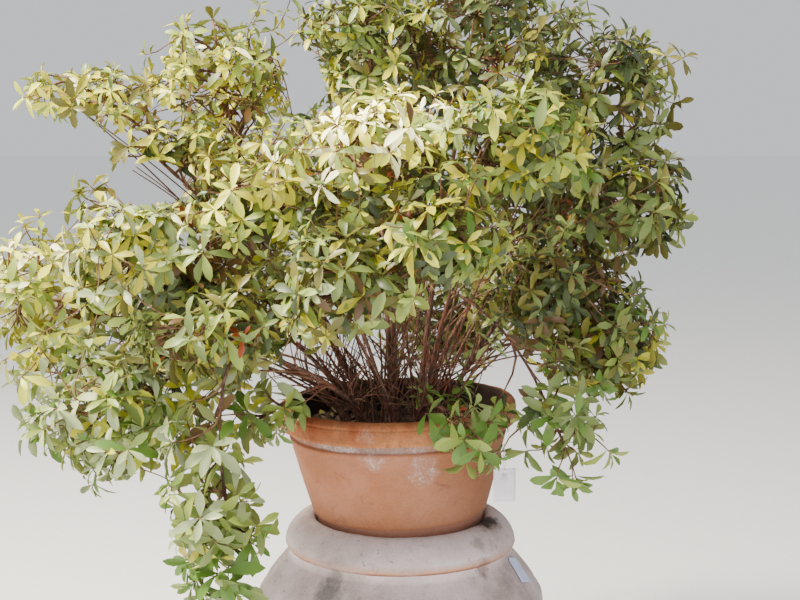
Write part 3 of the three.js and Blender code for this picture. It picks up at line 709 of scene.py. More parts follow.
# Azalea bark: dull, grey-brown with reddish patches where it has flaked, 35 mm apart, and
# streaked lengthwise, 4 mm apart and 20 long
bark, tree, shader = new_finish("azalea_bark", 0.85, 0.25)
where = add_node(tree, "TexCoord", {}).outputs["Object"]
streak_place = add_node(tree, "Mapping", {"Vector": where, "Scale": (1.0, 1.0, 0.2)})
streaks = add_node(tree, "TexNoise", {
    "Vector": streak_place, "Scale": 260.0, "Detail": 5.0, "Roughness": 0.65})
bark_tone = add_node(tree, "ValToRGB", {"Fac": streaks},
                     stops=((0.35, "#33231c"), (0.5, "#5c4034"), (0.68, "#84685a")))
flaking = add_node(tree, "TexNoise", {"Vector": where, "Scale": 28.0, "Detail": 4.0})
flaked_share = add_node(tree, "MapRange", {
    "Value": flaking, "From Min": 0.48, "From Max": 0.62, "To Max": 0.55})
bark_mix = add_node(tree, "Mix", {"Factor": flaked_share, "A": bark_tone, "B": linear("#7a4432")},
                    data_type="RGBA")
relief = add_node(tree, "Bump", {"Strength": 0.6, "Distance": 0.0008, "Height": streaks})
set_inputs(tree, shader, {"Base Color": bark_mix, "Normal": relief})
for k, (stem, *_) in enumerate(crown):
    own_limbs = [limb for limb in limbs if limb["stem"] == stem]
    stem_shape = bmesh.new()
    for limb in own_limbs:
        single = limb_shape(limb, sides=14 if limb["flare"] else 10, ring_step=8.0,
                            seed=3.7 * k + len(limb["name"]))
        single_mesh = bpy.data.meshes.new("limb")
        single.to_mesh(single_mesh)
        single.free()
        stem_shape.from_mesh(single_mesh)
        bpy.data.meshes.remove(single_mesh)
    add_piece("limbs_" + stem, stem_shape, [bark], [limb["name"] for limb in own_limbs],
              plant_frame)

# Twigs
# Every mass grows on from its limb: a stem twig through its middle, side twigs that reach out
# evenly to all sides, and finer twigs from those by the same rule, each with a whorl of leaves
# at its end. Between soil and masses thin bare shoots rise beside the stems.
golden_angle = math.pi * (3 - math.sqrt(5))
mass_centres, mass_halves = column(masses, "centre"), column(masses, "half")
# The crown's field: how far a mass reaches past its own half size, the level at the crown's edge
# and in its heart, and how far out of a mass a point may lie, in half sizes
field_reach, field_edge, field_heart, crown_limit, dent_depth = 1.95, 0.5, 1.5, 1.34, 0.3
own_margin, leaf_room, spray_area = 0.4, 36.0, 180.0
crown_slack = 0.03
crown_low = np.array(cad_corners[0]) - crown_slack
crown_high = np.array(cad_corners[1]) + crown_slack
plant_matrix = np.array(plant_frame)
# Two gaps at the upper left, each as its middle, half size, and slope to right and up per
# millimetre towards the back. Then the bare heart over the pot, which is lower to the right
sky_gaps = np.array([[(-173, 0, 715), (32, 900, 72), (-0.067, 0, 0.02)],
                     [(-492, 0, 512), (84, 900, 42), (-0.169, 0, -0.046)]])
bare_radius, bare_height, bare_fall, bare_fall_start = 300.0, 235.0, 0.8, 30.0
# How many sprays a mass has for its size, how it is moved and reshaped, and how its twigs turn up
spray_share = {"hanging_front": 0.16, "hanging_right": 0.24, "pot_left": 0.12,
               "weeping_left": 0.38, "left_low": 0.75, "arm_left": 0.42, "left_upper": 0.65,
               "left_shoulder": 0.28, "right_inner": 1.15, "left_front": 0.8,
               "far_left": 0.8, "top_middle": 0.8, "top_right": 0.8, "right_upper": 0.65,
               "right_middle": 0.8, "back_middle": 0.6, "back_low": 0.6,
               "back_left_middle": 0.75, "back_left_low": 0.6, "back_right_middle": 0.7,
               "top_back": 0.7}
shifted = {"hanging_front": (8.0, 0.0, -30.0), "hanging_right": (0.0, 0.0, -22.0),
           "weeping_left": (12.0, 0.0, 0.0), "right_inner": (0.0, 0.0, -42.0),
           "right_low": (-30.0, 0.0, -10.0), "left_front": (0.0, 0.0, 30.0),
           "back_left_middle": (45.0, -45.0, 30.0), "left_upper": (12.0, 0.0, -42.0)}
reshaped = {"arm_left": (1.0, 1.0, 0.75), "weeping_left": (0.72, 1.0, 1.0),
            "left_upper": (1.0, 1.0, 0.86), "left_front": (1.0, 1.0, 0.85),
            "back_left_middle": (1.18, 1.18, 1.1)}
mass_centres += [shifted.get(mass["name"], (0.0, 0.0, 0.0)) for mass in masses]
mass_halves *= [reshaped.get(mass["name"], (1.0, 1.0, 1.0)) for mass in masses]
usual_lift = 0.42
crown_lift = {"weeping_left": -0.5, "pot_left": -0.45, "hanging_right": -0.7,
              "hanging_front": -0.7, "left_low": 0.0, "right_low": -0.1}
main_twig_tip, side_twig_base, side_twig_tip, fine_twig_tip, shoot_base, shoot_tip = (
    2.4, 3.3, 1.9, 1.1, 1.2, 0.9)
mass_per_side_twig, fewest_side_twigs, most_side_twigs = 33, 4, 7
shortest_reach, long_shoot_share, side_shoot_share = 20.0, 0.22, 0.5
bare_patch_size, bare_patch_level, thinned_heart_share = 60, -0.17, 0.55
leave_places = (0.25, 0.4, 0.55, 0.7, 0.82, 0.93)
clay_room, mouth_radius = 8.0, 212.0


def crown_field(points):
    """How deep points lie in the crown: 0.5 at its edge, which has dents and swellings of a
    hand's width, and more inside. Masses that stand close together share the room between them"""
    out = np.sqrt((((points[:, None] - mass_centres) / mass_halves) ** 2).sum(-1))
    field = (np.maximum(0, 1 - (out / field_reach) ** 2) ** 2).sum(1)
    return field + dent_depth * np.sin(points / 30 + [0.4, 2.1, 1.3]).prod(1), out


def in_crown(points, edge, mass=None):
    """Whether points lie in the crown, and near one mass if it is given. The heart of the bush
    over the pot is bare, less high to the right, and two gaps at the upper left are open"""
    field, out = crown_field(points)
    in_gap = np.zeros(len(points), bool)
    for middle, half, slope in sky_gaps:
        in_gap |= (((points - middle - points[:, 1:2] * slope) / half) ** 2).sum(1) < 1
    bare_top = bare_height - bare_fall * np.clip(points[:, 0] - bare_fall_start, 0, bare_radius)
    in_heart = (np.hypot(points[:, 0], points[:, 1]) < bare_radius) & (points[:, 2] < bare_top)
    placed = points @ plant_matrix[:3, :3].T + plant_matrix[:3, 3]
    in_room = ((placed > crown_low) & (placed < crown_high)).all(1)
    inside = (field > edge) & ~in_gap & ~in_heart & in_room & (out.min(1) < crown_limit)
    if mass:
        inside &= out[:, masses.index(mass)] - out.min(1) < own_margin
    return inside


def clear_of_pot(points):
    """Whether points lie outside the pot's clay, with a little room"""
    level, height = np.hypot(points[:, 0], points[:, 1]), points[:, 2] + soil_top
    outside = level > np.where(height > band_foot, pot_rim_radius + clay_room,
                               pot_radius(height) + clay_room)
    in_mouth = (level < mouth_radius) & (height > soil_top + 3)
    return (height > pot_height + 5) | outside | in_mouth


def has_room(tip, edge):
    """Whether the tip of a twig lies in the crown, as deep as its edge, and clear of the pot"""
    return in_crown(tip[None], edge)[0] and clear_of_pot(tip[None])[0]


def evenly_out(number, count, angle):
    """One of a count of directions that spread evenly to all sides"""
    height = 1 - (2 * number + 1) / count
    level = math.sqrt(1 - height * height)
    return np.array([level * math.cos(angle), level * math.sin(angle), height])


def finer_twig(tip, outward, lift, parents):
    """A twig to a tip, from the place on its parents that it can leave most smoothly"""
    best = None
    for parent in parents:
        for t in leave_places:
            point, along = on_curve(parent["curve"], t)
            way = tip - point
            cost = np.linalg.norm(way) - 0.45 * way @ along
            if best is None or cost < best[0]:
                best = (cost, point, along, parent["base"] + (parent["tip"] - parent["base"]) * t)
    _, start, along, radius = best
    length = np.linalg.norm(tip - start)
    end_way = unit(unit(tip - start) + 0.5 * outward + upward(lift))
    curve = [start, start + along * length * 0.35, tip - end_way * length * 0.35, tip]
    return dict(curve=curve, base=min(radius * 0.75, 1.6 + length / 90), tip=fine_twig_tip)


twigs, whorls = [], []


def grow(twig, mass, draw, **habit):
    """Adds a twig to a mass, with a whorl of leaves at its tip"""
    twig.update(mass=mass)
    twigs.append(twig)
    whorls.append(dict(mass=mass, twig=twig, draw=draw, **habit))


for index, mass in enumerate(masses):
    limb = next(limb for limb in limbs if limb["mass"] is mass)
    draw = seeded(100 + index)
    point, along = on_curve(limb["curve"], 1.0)
    start = point + along * 0.3
    length = 1.5 * np.linalg.norm(start - mass["centre"])
    main_twig = dict(curve=[start, start + along * length / 2, start + along * length],
                     base=bough_tip_radius, tip=main_twig_tip)
    count = min(max(round(mass["size"] / mass_per_side_twig), fewest_side_twigs), most_side_twigs)
    turn = draw() * 2 * math.pi
    side_twigs = []
    for k in range(count):
        outward = evenly_out(k, count, turn + k * golden_angle + (draw() - 0.5) * 0.5)
        tip = mass["centre"] + mass["half"] * outward * (0.55 + 0.12 * draw())
        abreast = (tip - start) @ along / length
        root = start + along * length * min(max(abreast - 0.3, 0.1), 0.9)
        bend_at = root + (tip - root) * 0.45 + along * 0.18 * np.linalg.norm(tip - root)
        if has_room(tip, field_edge):
            side_twigs.append(dict(curve=[root, bend_at, tip], base=side_twig_base,
                                   tip=side_twig_tip))
    lift = crown_lift.get(mass["name"], usual_lift)
    parents = [main_twig] + side_twigs
    for parent in parents:
        grow(parent, mass, draw)
    sprays = round(mass["size"] ** 2 / spray_area * spray_share.get(mass["name"], 1.0))
    heart, half = mass_centres[index], mass_halves[index]
    turn = draw() * 2 * math.pi
    for k in range(sprays):
        outward = evenly_out(k, sprays, turn + k * golden_angle + (draw() - 0.5) * 0.9)
        ray = heart + half * outward * np.arange(0.4, 1.66, 0.06)[:, None]
        inside = in_crown(ray, field_edge, mass)
        edge_place = 0.4 + 0.06 * (len(inside) if inside.all() else int(np.argmin(inside)))
        room = edge_place * np.linalg.norm(half * outward) - leaf_room
        reach = max(room, shortest_reach) * (0.35 + 0.65 * draw() ** 0.5)
        long_shoot = draw() < long_shoot_share
        if long_shoot:
            reach = max(room, shortest_reach) * (1.02 + 0.3 * draw())
        tip = heart + unit(half * outward) * reach
        bare_place = noise.noise(Vector(tip) / bare_patch_size) < bare_patch_level
        deep_inside = (crown_field(tip[None])[0][0] > field_heart
                       and draw() < thinned_heart_share)
        tip_edge = 0.5 * field_edge if long_shoot else field_edge
        if bare_place or deep_inside or not has_room(tip, tip_edge):
            continue
        twig = finer_twig(tip, outward, lift, parents)
        grow(twig, mass, draw, long=long_shoot)
        if draw() < side_shoot_share:
            point, along = on_curve(twig["curve"], 0.4 + 0.3 * draw())
            side, up = across(along, along)
            angle = draw() * 2 * math.pi
            way = unit(along + side * math.cos(angle) + up * math.sin(angle) + upward(lift))
            end = point + way * (28 + 34 * draw())
            if has_room(end, field_edge):
                grow(dict(curve=[point, point + (along + way) * 10, end], base=shoot_base,
                          tip=shoot_tip), mass, draw)

# Side sprays on the outer half of the stems and boughs, where they run through the crown
side_spray_step = 26
for number, limb in enumerate(limbs):
    draw = seeded(900 + number)
    mass = limb["mass"] or next(m for m in masses if m["stem"] == limb["stem"])
    span = np.linalg.norm(limb["curve"][-1] - limb["curve"][0])
    turn = draw() * 2 * math.pi
    for k in range(int(span / side_spray_step)):
        point, along = on_curve(limb["curve"], 0.42 + 0.56 * draw())
        side, up = across(along, along)
        angle = turn + k * golden_angle
        around = side * math.cos(angle) + up * math.sin(angle)
        length = 60 + 110 * draw()
        tip = point + unit(along * 0.9 + around + upward(0.25)) * length
        if has_room(tip, 0.9 * field_edge):
            end_way = unit(unit(tip - point) + 0.4 * around + upward(0.4))
            curve = [point, point + along * length * 0.3, tip - end_way * length * 0.35, tip]
            grow(dict(curve=curve, base=1.5 + length / 80, tip=fine_twig_tip), mass, draw,
                 on_limb=True)

# Leggy twigs: over the gap at the upper left, at the lower left and beside the pot. Each
# with its mass, its tip, how far it turns up and how large its leaves are
leggy_draw = seeded(43)
for carrier, tip, lift, growth in (
        ("top_middle", (-172.0, -10.0, 838.0), 0.5, 0.8),
        ("top_middle", (-118.0, 20.0, 852.0), 0.5, 0.8),
        ("top_middle", (-150.0, -40.0, 808.0), 0.5, 0.8),
        ("left_upper", (-228.0, 10.0, 815.0), 0.5, 0.8),
        ("left_upper", (-252.0, -20.0, 862.0), 0.5, 0.8),
        ("left_upper", (-205.0, 30.0, 850.0), 0.5, 0.8),
        ("left_upper", (-268.0, 0.0, 830.0), 0.5, 0.8),
        ("left_upper", (-190.0, 20.0, 885.0), 0.5, 0.8),
        ("top_middle", (-142.0, 0.0, 872.0), 0.5, 0.8),
        ("pot_left", (-232.0, -262.0, 32.0), -0.7, 1.15),
        ("left_low", (-712.0, -262.0, 62.0), -0.1, 1.3),
        ("left_low", (-690.0, -300.0, 84.0), 0.1, 1.2),
        ("weeping_left", (-300.0, -450.0, -215.0), -0.8, 1.5),
        ("weeping_left", (-352.0, -470.0, -120.0), -0.7, 1.5),
        ("hanging_front", (186.0, -215.0, 196.0), 0.6, 0.9)):
    tip = np.array(tip)
    mass = named(masses, carrier)
    near_twigs = [twig for twig in twigs if twig["mass"] is mass]
    twig = finer_twig(tip, unit(tip - mass["centre"]), lift, near_twigs)
    grow(twig, mass, leggy_draw, free=True, growth=growth)

# Young shoots from the soil, three at the front and two behind, each as its bearing, reach and
# height, and a twig that droops over the rim and carries a paper tag
young_draw, young_growth = seeded(61), 0.8
front_mass = named(masses, "hanging_front")
for bearing, reach, height in ((296, 126, 80), (312, 150, 58), (324, 165, 84), (120, 150, 60),
                               (60, 140, 70)):
    foot, tip = place(bearing, 0.8 * reach, -1.0), place(bearing + 4, reach, height)
    shoot = dict(curve=[foot, foot + upward(height / 2), tip], base=1.7, tip=1.0)
    point, along = on_curve(shoot["curve"], 0.55)
    side_tip = point + unit(along + 0.9 * unit(place(bearing + 80, 1, 0.2))) * 26
    side_shoot = dict(curve=[point, point + along * 9, side_tip], base=shoot_base,
                      tip=shoot_tip)
    for twig in (shoot, side_shoot):
        grow(twig, front_mass, young_draw, free=True, growth=young_growth)
tag_bough = named(limbs, "bough_hanging_right")
tag_twig = finer_twig(np.array([200.0, -216.0, -34.0]), np.array([0.3, -0.3, 0.0]), -0.9,
                      [tag_bough])
grow(tag_twig, tag_bough["mass"], young_draw, free=True, growth=young_growth)


def tube_arrays(curves, radii, rings, sides):
    """Points and triangles of many thin tubes, all cut alike, each closed at its end"""
    all_points, all_faces = [], []
    ring_faces = []
    for ring in range(rings - 1):
        for side in range(sides):
            a, b = ring * sides + side, ring * sides + (side + 1) % sides
            ring_faces += [(a, b, b + sides), (a, b + sides, a + sides)]
    cap = rings * sides
    ring_faces += [(cap - sides + side, cap - sides + (side + 1) % sides, cap)
                   for side in range(sides)]
    ring_faces = np.array(ring_faces)
    angles = np.arange(sides) * 2 * math.pi / sides
    for n, (curve, (base, tip)) in enumerate(zip(curves, radii)):
        chord = unit(curve[-1] - curve[0])
        rows = []
        for t in np.linspace(0, 1, rings):
            point, tangent = on_curve(curve, t)
            side, up = across(tangent, chord)
            radius = base + (tip - base) * t
            rows.append(point + radius * (np.cos(angles)[:, None] * side
                                          + np.sin(angles)[:, None] * up))
        rows.append((on_curve(curve, 1.0)[0] + tangent * tip)[None])
        all_points.append(np.concatenate(rows))
        all_faces.append(ring_faces + n * (cap + 1))
    return np.concatenate(all_points), np.concatenate(all_faces)


def add_joined(name, points, faces, finishes, tints, nodes=()):
    """Makes a piece of many small things joined, from arrays in the plant's own frame"""
    mesh = bpy.data.meshes.new(name)
    points = points @ plant_matrix[:3, :3].T + plant_matrix[:3, 3]
    mesh.from_pydata(points.tolist(), [], faces.tolist())
    place_mesh(mesh, finishes, nodes)
    mesh.polygons.foreach_set("material_index", np.ascontiguousarray(tints, dtype=np.int32))


# Young bark: smoother and redder than the old, with paler lengths, 20 mm apart
young_bark, tree, shader = new_finish("young_azalea_bark", 0.7, 0.3)
where = add_node(tree, "TexCoord", {}).outputs["Object"]
mottle = add_node(tree, "TexNoise", {"Vector": where, "Scale": 45.0, "Detail": 4.0})
young_tone = add_node(tree, "ValToRGB", {"Fac": mottle},
                      stops=((0.38, "#4f3024"), (0.62, "#8a6648")))
set_inputs(tree, shader, {"Base Color": young_tone})
for stem, *_ in crown:
    own = [twig for twig in twigs if twig["mass"]["stem"] == stem]
    points, faces = tube_arrays([t["curve"] for t in own], [(t["base"], t["tip"]) for t in own],
                                rings=5, sides=5)
    add_joined("twigs_" + stem, points, faces, [young_bark], np.zeros(len(faces)))

# Bare shoots: some to each mass that doesn't hang below the rim, from the soil beside its stem
shoot_draw = seeded(31)
shoots_each, hanging_height = 2, 100
shoot_curves, shoot_radii = [], []
for mass in masses:
    if mass["centre"][2] < hanging_height:
        continue
    stem_foot = named(limbs, "stem_" + mass["stem"])["curve"][0]
    for _ in range(shoots_each):
        spread = np.array([shoot_draw() - 0.5, shoot_draw() - 0.5, 0.0]) * 96
        foot = stem_foot * np.array([0.9, 0.9, 0.0]) + spread
        foot[2] = -1.0
        tip = mass["centre"] + mass["half"] * 0.45 * np.array([
            shoot_draw() * 2 - 1, shoot_draw() * 2 - 1, -shoot_draw()])
        run = math.hypot(tip[0] - foot[0], tip[1] - foot[1])
        knee = foot + (tip - foot) * (0.3 + 0.15 * shoot_draw())
        knee[2] = max(0.6 * tip[2], 0.42 * run) * (0.85 + 0.3 * shoot_draw())
        knee[:2] += (shoot_draw() - 0.5) * 60, (shoot_draw() - 0.5) * 60
        lean = np.array([(shoot_draw() - 0.5) * 40, (shoot_draw() - 0.5) * 40, 55.0])
        shoot_curves.append([foot, foot + lean, knee, tip])
        shoot_radii.append((1.5 + 2.2 * shoot_draw(), fine_twig_tip))
points, faces = tube_arrays(shoot_curves, shoot_radii, rings=22, sides=7)
add_joined("bare_shoots", points, faces, [bark], np.zeros(len(faces)))

# Short bare side twigs low on the stems, which cross each other over the pot, more at the left
left_side_twigs, other_side_twigs = 22, 13
side_curves, side_radii = [], []
for limb in limbs:
    if not limb["flare"]:
        continue
    for _ in range(left_side_twigs if limb["stem"].startswith("left") else other_side_twigs):
        point, along = on_curve(limb["curve"], 0.07 + 0.4 * shoot_draw())
        side, up = across(along, along)
        angle = 2 * math.pi * shoot_draw()
        way = unit(along * 0.7 + side * math.cos(angle) + up * math.sin(angle) + upward(0.3))
        length = 60 + 120 * shoot_draw()
        tip = point + way * length
        bend = point + unit(along + way) * length * 0.5
        if clear_of_pot(np.array([tip, bend])).all() and tip[2] > 12:
            side_curves.append([point, bend, tip])
            side_radii.append((1.2 + 0.9 * shoot_draw(), 0.8))
points, faces = tube_arrays(side_curves, side_radii, rings=9, sides=5)
add_joined("bare_side_twigs", points, faces, [bark], np.zeros(len(faces)))

# Leaves
# Evergreen leaves, widest beyond the middle, pointed and folded a little along the midrib,
# in whorls at the twig tips. Their colours are dealt out by spray, and paint light and shade:
# sunlit yellow-green and near white at the upper left and the front top, deep and olive in the
# shade at the right and deep inside, and brown and red among old leaves inside.
# The sunlit and lit tints are painted sunlight, near white and bright yellow-green. The pale tint
# paints the grey sheen of the sky on leaves, mostly at the lower left
leaf_tints = {
    "sunlit": ("#fbfabf", "#f6f4c4"), "lit": ("#d8d94c", "#d2d066"),
    "yellow": ("#b2ac2e", "#b5ae4a"), "fresh": ("#8a9a40", "#a0a65a"),
    "mid": ("#707f3f", "#8f9658"), "cool": ("#587828", "#879a58"),
    "pale": ("#a4b07c", "#abb488"), "deep": ("#46522a", "#6a7048"),
    "olive": ("#6f6a2a", "#7e783c"), "brown": ("#5b4220", "#735a38"),
    "red": ("#94421c", "#9a5834")}
tint_names = list(leaf_tints)
# Mixes named for light paint it: sunlit, gilded and bright are rich in the sunlit and lit tints;
# backlit, shade, dusky and inner, rich in deep and olive, paint shade, and inner also holds brown
# and red old leaves
spray_mixes = {
    "sunlit": {"sunlit": 0.34, "lit": 0.18, "yellow": 0.14, "fresh": 0.18, "olive": 0.1,
               "brown": 0.06},
    "gilded": {"sunlit": 0.16, "lit": 0.38, "yellow": 0.24, "fresh": 0.22},
    "bright": {"sunlit": 0.03, "lit": 0.17, "yellow": 0.26, "fresh": 0.3, "mid": 0.16,
               "olive": 0.08},
    "soft": {"sunlit": 0.06, "lit": 0.1, "yellow": 0.16, "pale": 0.16, "fresh": 0.3, "mid": 0.18,
             "olive": 0.04},
    "green": {"lit": 0.04, "yellow": 0.12, "fresh": 0.3, "mid": 0.26, "cool": 0.1,
              "deep": 0.1, "olive": 0.08},
    "cool": {"lit": 0.03, "yellow": 0.06, "pale": 0.42, "fresh": 0.22, "mid": 0.14, "cool": 0.13},
    "dappled": {"yellow": 0.13, "pale": 0.1, "fresh": 0.22, "mid": 0.2, "deep": 0.13,
                "olive": 0.18, "brown": 0.04},
    "weeping": {"yellow": 0.05, "pale": 0.12, "fresh": 0.32, "mid": 0.29, "cool": 0.22},
    "hanging": {"fresh": 0.2, "mid": 0.36, "cool": 0.44},
    "backlit": {"yellow": 0.05, "fresh": 0.1, "mid": 0.27, "deep": 0.36, "olive": 0.22},
    "shade": {"yellow": 0.05, "fresh": 0.13, "mid": 0.32, "deep": 0.24, "olive": 0.22,
              "brown": 0.04},
    "dusky": {"mid": 0.2, "deep": 0.3, "olive": 0.36, "brown": 0.14},
    "inner": {"mid": 0.14, "deep": 0.34, "olive": 0.29, "brown": 0.2, "red": 0.03},
    "old": {"red": 0.66, "brown": 0.2, "olive": 0.14},
    "fallen": {"brown": 0.62, "red": 0.1, "olive": 0.28}}
# Each mass takes the mix for the light it stands in: sunlit at the front top, gilded and bright at
# the upper left, and backlit, shade and dusky at the top, the right and the back
mass_mix = {"arm_left": "bright", "left_upper": "bright", "left_shoulder": "bright",
            "far_left": "gilded", "left_low": "cool", "left_middle": "soft",
            "left_front": "dappled", "weeping_left": "weeping", "pot_left": "weeping",
            "front_middle": "dappled", "front_upper": "sunlit", "front_left_upper": "bright",
            "front_right": "green", "top_middle": "green", "top_back": "backlit",
            "top_right": "backlit", "right_upper": "backlit", "right_middle": "shade",
            "right_inner": "dusky", "right_low": "green", "right_front_upper": "green",
            "hanging_right": "hanging", "hanging_front": "hanging", "back_right_middle": "shade",
            "back_middle": "green", "back_low": "shade", "back_left_middle": "green",
            "back_left_low": "green"}
leaf_growth = {"hanging_front": 1.22, "hanging_right": 1.18, "pot_left": 1.2,
               "weeping_left": 1.35, "left_low": 1.15, "front_middle": 1.1, "left_front": 1.08,
               "arm_left": 0.92, "left_upper": 0.9, "top_middle": 0.9, "top_back": 0.88,
               "top_right": 0.94, "right_middle": 1.15, "right_front_upper": 1.1,
               "right_upper": 1.04, "right_low": 1.08, "front_right": 1.08,
               "right_inner": 0.9}
old_sprays = np.array([(-262, -435, 240), (-130, -250, 504), (47, -300, 427), (226, -150, 460),
                       (228, -50, 724), (330, 150, 420), (-150, 420, 480)], float)
old_spray_reach, red_leaf_growth = 44, 0.75
leaf_length, leaf_slimness, leaf_thickness = 51, 0.163, 0.7
leaf_rows = np.array([0.0, 0.24, 0.58, 0.84, 1.0])
leaf_row_widths = np.array([0.0, 0.44, 1.0, 0.72, 0.0])
inner_level, inner_level_on_limbs, mixed_tint_share = 1.25, 0.8, 0.25
usual_leaf_edge, long_shoot_leaf_edge = 0.8, 0.35


def leaf_sheet():
    """Station, side and triangles of the upper sheet of a leaf: a point, three rows, a point"""
    stations, sides = [0], [0]
    for row in (1, 2, 3):
        stations += [row] * 3
        sides += [1, 0, -1]
    stations, sides = stations + [4], sides + [0]
    sheet = [(0, 2, 1), (0, 3, 2)]
    for left, mid, right in ((1, 2, 3), (4, 5, 6)):
        sheet += [(mid, mid + 3, left + 3), (mid, left + 3, left),
                  (right, right + 3, mid + 3), (right, mid + 3, mid)]
    sheet += [(8, 10, 7), (9, 10, 8)]
    return np.array(stations), np.array(sides), np.array(sheet)


def pick(mix, value):
    """The name that a random value falls on in a mix of shares"""
    for name, share in mix.items():
        value -= share
        if value <= 0:
            return name
    return name


leaves = []
for whorl in whorls:
    draw, mass = whorl["draw"], whorl["mass"]
    end, along = on_curve(whorl["twig"]["curve"], 1.0)
    side, up = across(along, along)
    # Whorls deep in the crown take the inner mix: painted shade, with some brown and red old
    # leaves
    depth = crown_field(end[None])[0][0]
    deep_inside = depth > (inner_level_on_limbs if "on_limb" in whorl else inner_level)
    mix = spray_mixes["inner" if deep_inside else mass_mix[mass["name"]]]
    if np.linalg.norm(old_sprays - end, axis=1).min() < old_spray_reach:
        mix = spray_mixes["old"]
    tint = pick(mix, draw())
    count = 6 + int(draw() * 3)
    vigour = (0.8 + 0.4 * draw()) * whorl.get("growth", leaf_growth.get(mass["name"], 1.0))
    vigour *= red_leaf_growth if tint == "red" else 1.0
    first = draw() * 2 * math.pi
    for k in range(count):
        young = k / (count - 1)
        angle = first + k * golden_angle + 0.3 * (draw() - 0.5)
        opening = 1.6 - 1.0 * young + 0.45 * (draw() - 0.5)
        around = side * math.cos(angle) + up * math.sin(angle)
        direction = along * math.cos(opening) + around * math.sin(opening)
        direction = unit(direction + upward(-0.3 * (1 - young)))
        facing = along + upward(0.55) + 0.3 * np.array(
            [draw() - 0.5, draw() - 0.5, draw() - 0.5])
        facing = unit(facing - direction * (facing @ direction))
        leaves.append(dict(
            root=end - along * (1 - young) * 12, direction=direction, facing=facing, mass=mass,
            length=leaf_length * vigour * (1 - 0.42 * young ** 1.5) * (0.9 + 0.2 * draw()),
            droop=0.3 + 0.65 * draw(), fold=0.16 + 0.4 * draw(), free="free" in whorl,
            edge=long_shoot_leaf_edge if whorl.get("long") else usual_leaf_edge,
            tint=pick(mix, draw()) if draw() < mixed_tint_share and tint != "red" else tint))

leaf_roots, leaf_ways = column(leaves, "root"), column(leaves, "direction")
leaf_lengths = column(leaves, "length")
leaf_masses = np.array([masses.index(leaf["mass"]) for leaf in leaves])
leaf_free, leaf_edges = column(leaves, "free"), column(leaves, "edge")
# A leaf that would stand out of the crown or touch the pot is tried smaller, or left out
fitted = np.zeros(len(leaves))
for size in (1.0, 0.84, 0.7):
    for number, mass in enumerate(masses):
        tried = np.flatnonzero((leaf_masses == number) & (fitted == 0))
        tips = leaf_roots[tried] + leaf_ways[tried] * (leaf_lengths[tried] * size)[:, None]
        halfway = (leaf_roots[tried] + tips) / 2
        good = in_crown(tips, leaf_edges[tried] * field_edge) | leaf_free[tried]
        good &= clear_of_pot(tips) & clear_of_pot(halfway)
        fitted[tried[good]] = size
for leaf, size in zip(leaves, fitted):
    leaf["length"] *= size
leaves = [leaf for leaf in leaves if leaf["length"] > 0]

# A leaf's upper face has a thin waxy skin with a soft sheen. Its underside is dull
leaf_finishes = []
for name in tint_names:
    for face, colour, roughness, specular in (("upper", leaf_tints[name][0], 0.42, 0.42),
                                              ("under", leaf_tints[name][1], 0.7, 0.2)):
        finish, _, shader = new_finish("azalea_leaf_%s_%s" % (name, face), roughness, specular)
        shader.inputs["Base Color"].default_value = linear(colour)
        leaf_finishes.append(finish)


def leaf_arrays(own):
    """Points, triangles and tints of many leaves, each an upper and a lower sheet"""
    stations, sides, sheet = leaf_sheet()
    t, row_width = leaf_rows[stations], leaf_row_widths[stations] * sides
    length, droop, fold = (column(own, key)[:, None] for key in ("length", "droop", "fold"))
    way, facing = column(own, "direction"), column(own, "facing")
    beside = np.cross(facing, way)
    forward = length * np.sin(droop * t) / droop
    down = length * (1 - np.cos(droop * t)) / droop
    aside = length * leaf_slimness * row_width
    raised = fold * np.abs(aside) - down
    between = (np.abs(sides) == 0) & (t > 0) & (t < 1)
    roots = column(own, "root")
    sheets = []
    for sign in (1, -1):
        lifted = raised + sign * between * leaf_thickness / 2
        sheets.append(roots[:, None] + forward[..., None] * way[:, None]
                      + aside[..., None] * beside[:, None] + lifted[..., None] * facing[:, None])
    points = np.concatenate(sheets, axis=1)
    verts_each = points.shape[1]
    faces_each = np.concatenate([sheet, sheet[:, ::-1] + verts_each // 2])
    faces = faces_each[None] + (np.arange(len(own)) * verts_each)[:, None, None]
    tint = np.array([tint_names.index(leaf["tint"]) for leaf in own])[:, None] * 2
    under = np.repeat([0, 1], len(sheet))[None]
    return points.reshape(-1, 3), faces.reshape(-1, 3), (tint + under).ravel()


for stem, *_, carried in crown:
    own = [leaf for leaf in leaves if leaf["mass"]["stem"] == stem]
    points, faces, tints = leaf_arrays(own)
    add_joined("leaves_" + stem, points, faces, leaf_finishes, tints,
               ["foliage_" + mass[0] for mass in carried])

# Fallen leaves
# Old leaves that lie flat on the soil, brown or turned red, most of them near the wall.
fallen = []
fallen_draw = seeded(77)
fallen_count, soil_edge_radius, soil_slope_width = 110, 204, 38
for _ in range(fallen_count):
    bearing, reach = 360 * fallen_draw(), 70 + 132 * fallen_draw() ** 0.7
    turn = 2 * math.pi * fallen_draw()
    direction = unit(np.array([math.cos(turn), math.sin(turn), 0.12 * (fallen_draw() - 0.5)]))
    facing = np.array([0.5 * (fallen_draw() - 0.5), 0.5 * (fallen_draw() - 0.5), 1.0])
    facing = unit(facing - direction * (facing @ direction))
    dip = soil_dip * max(0, reach - soil_flat_radius) / soil_slope_width
    length = 28 + 24 * fallen_draw()
    fallen.append(dict(
        root=place(bearing, reach, 4.0 + 3 * fallen_draw() - dip) - direction * length / 2,
        direction=direction, facing=facing, length=length, droop=0.2 + 0.5 * fallen_draw(),
        fold=0.2 + 0.4 * fallen_draw(), tint=pick(spray_mixes["fallen"], fallen_draw())))
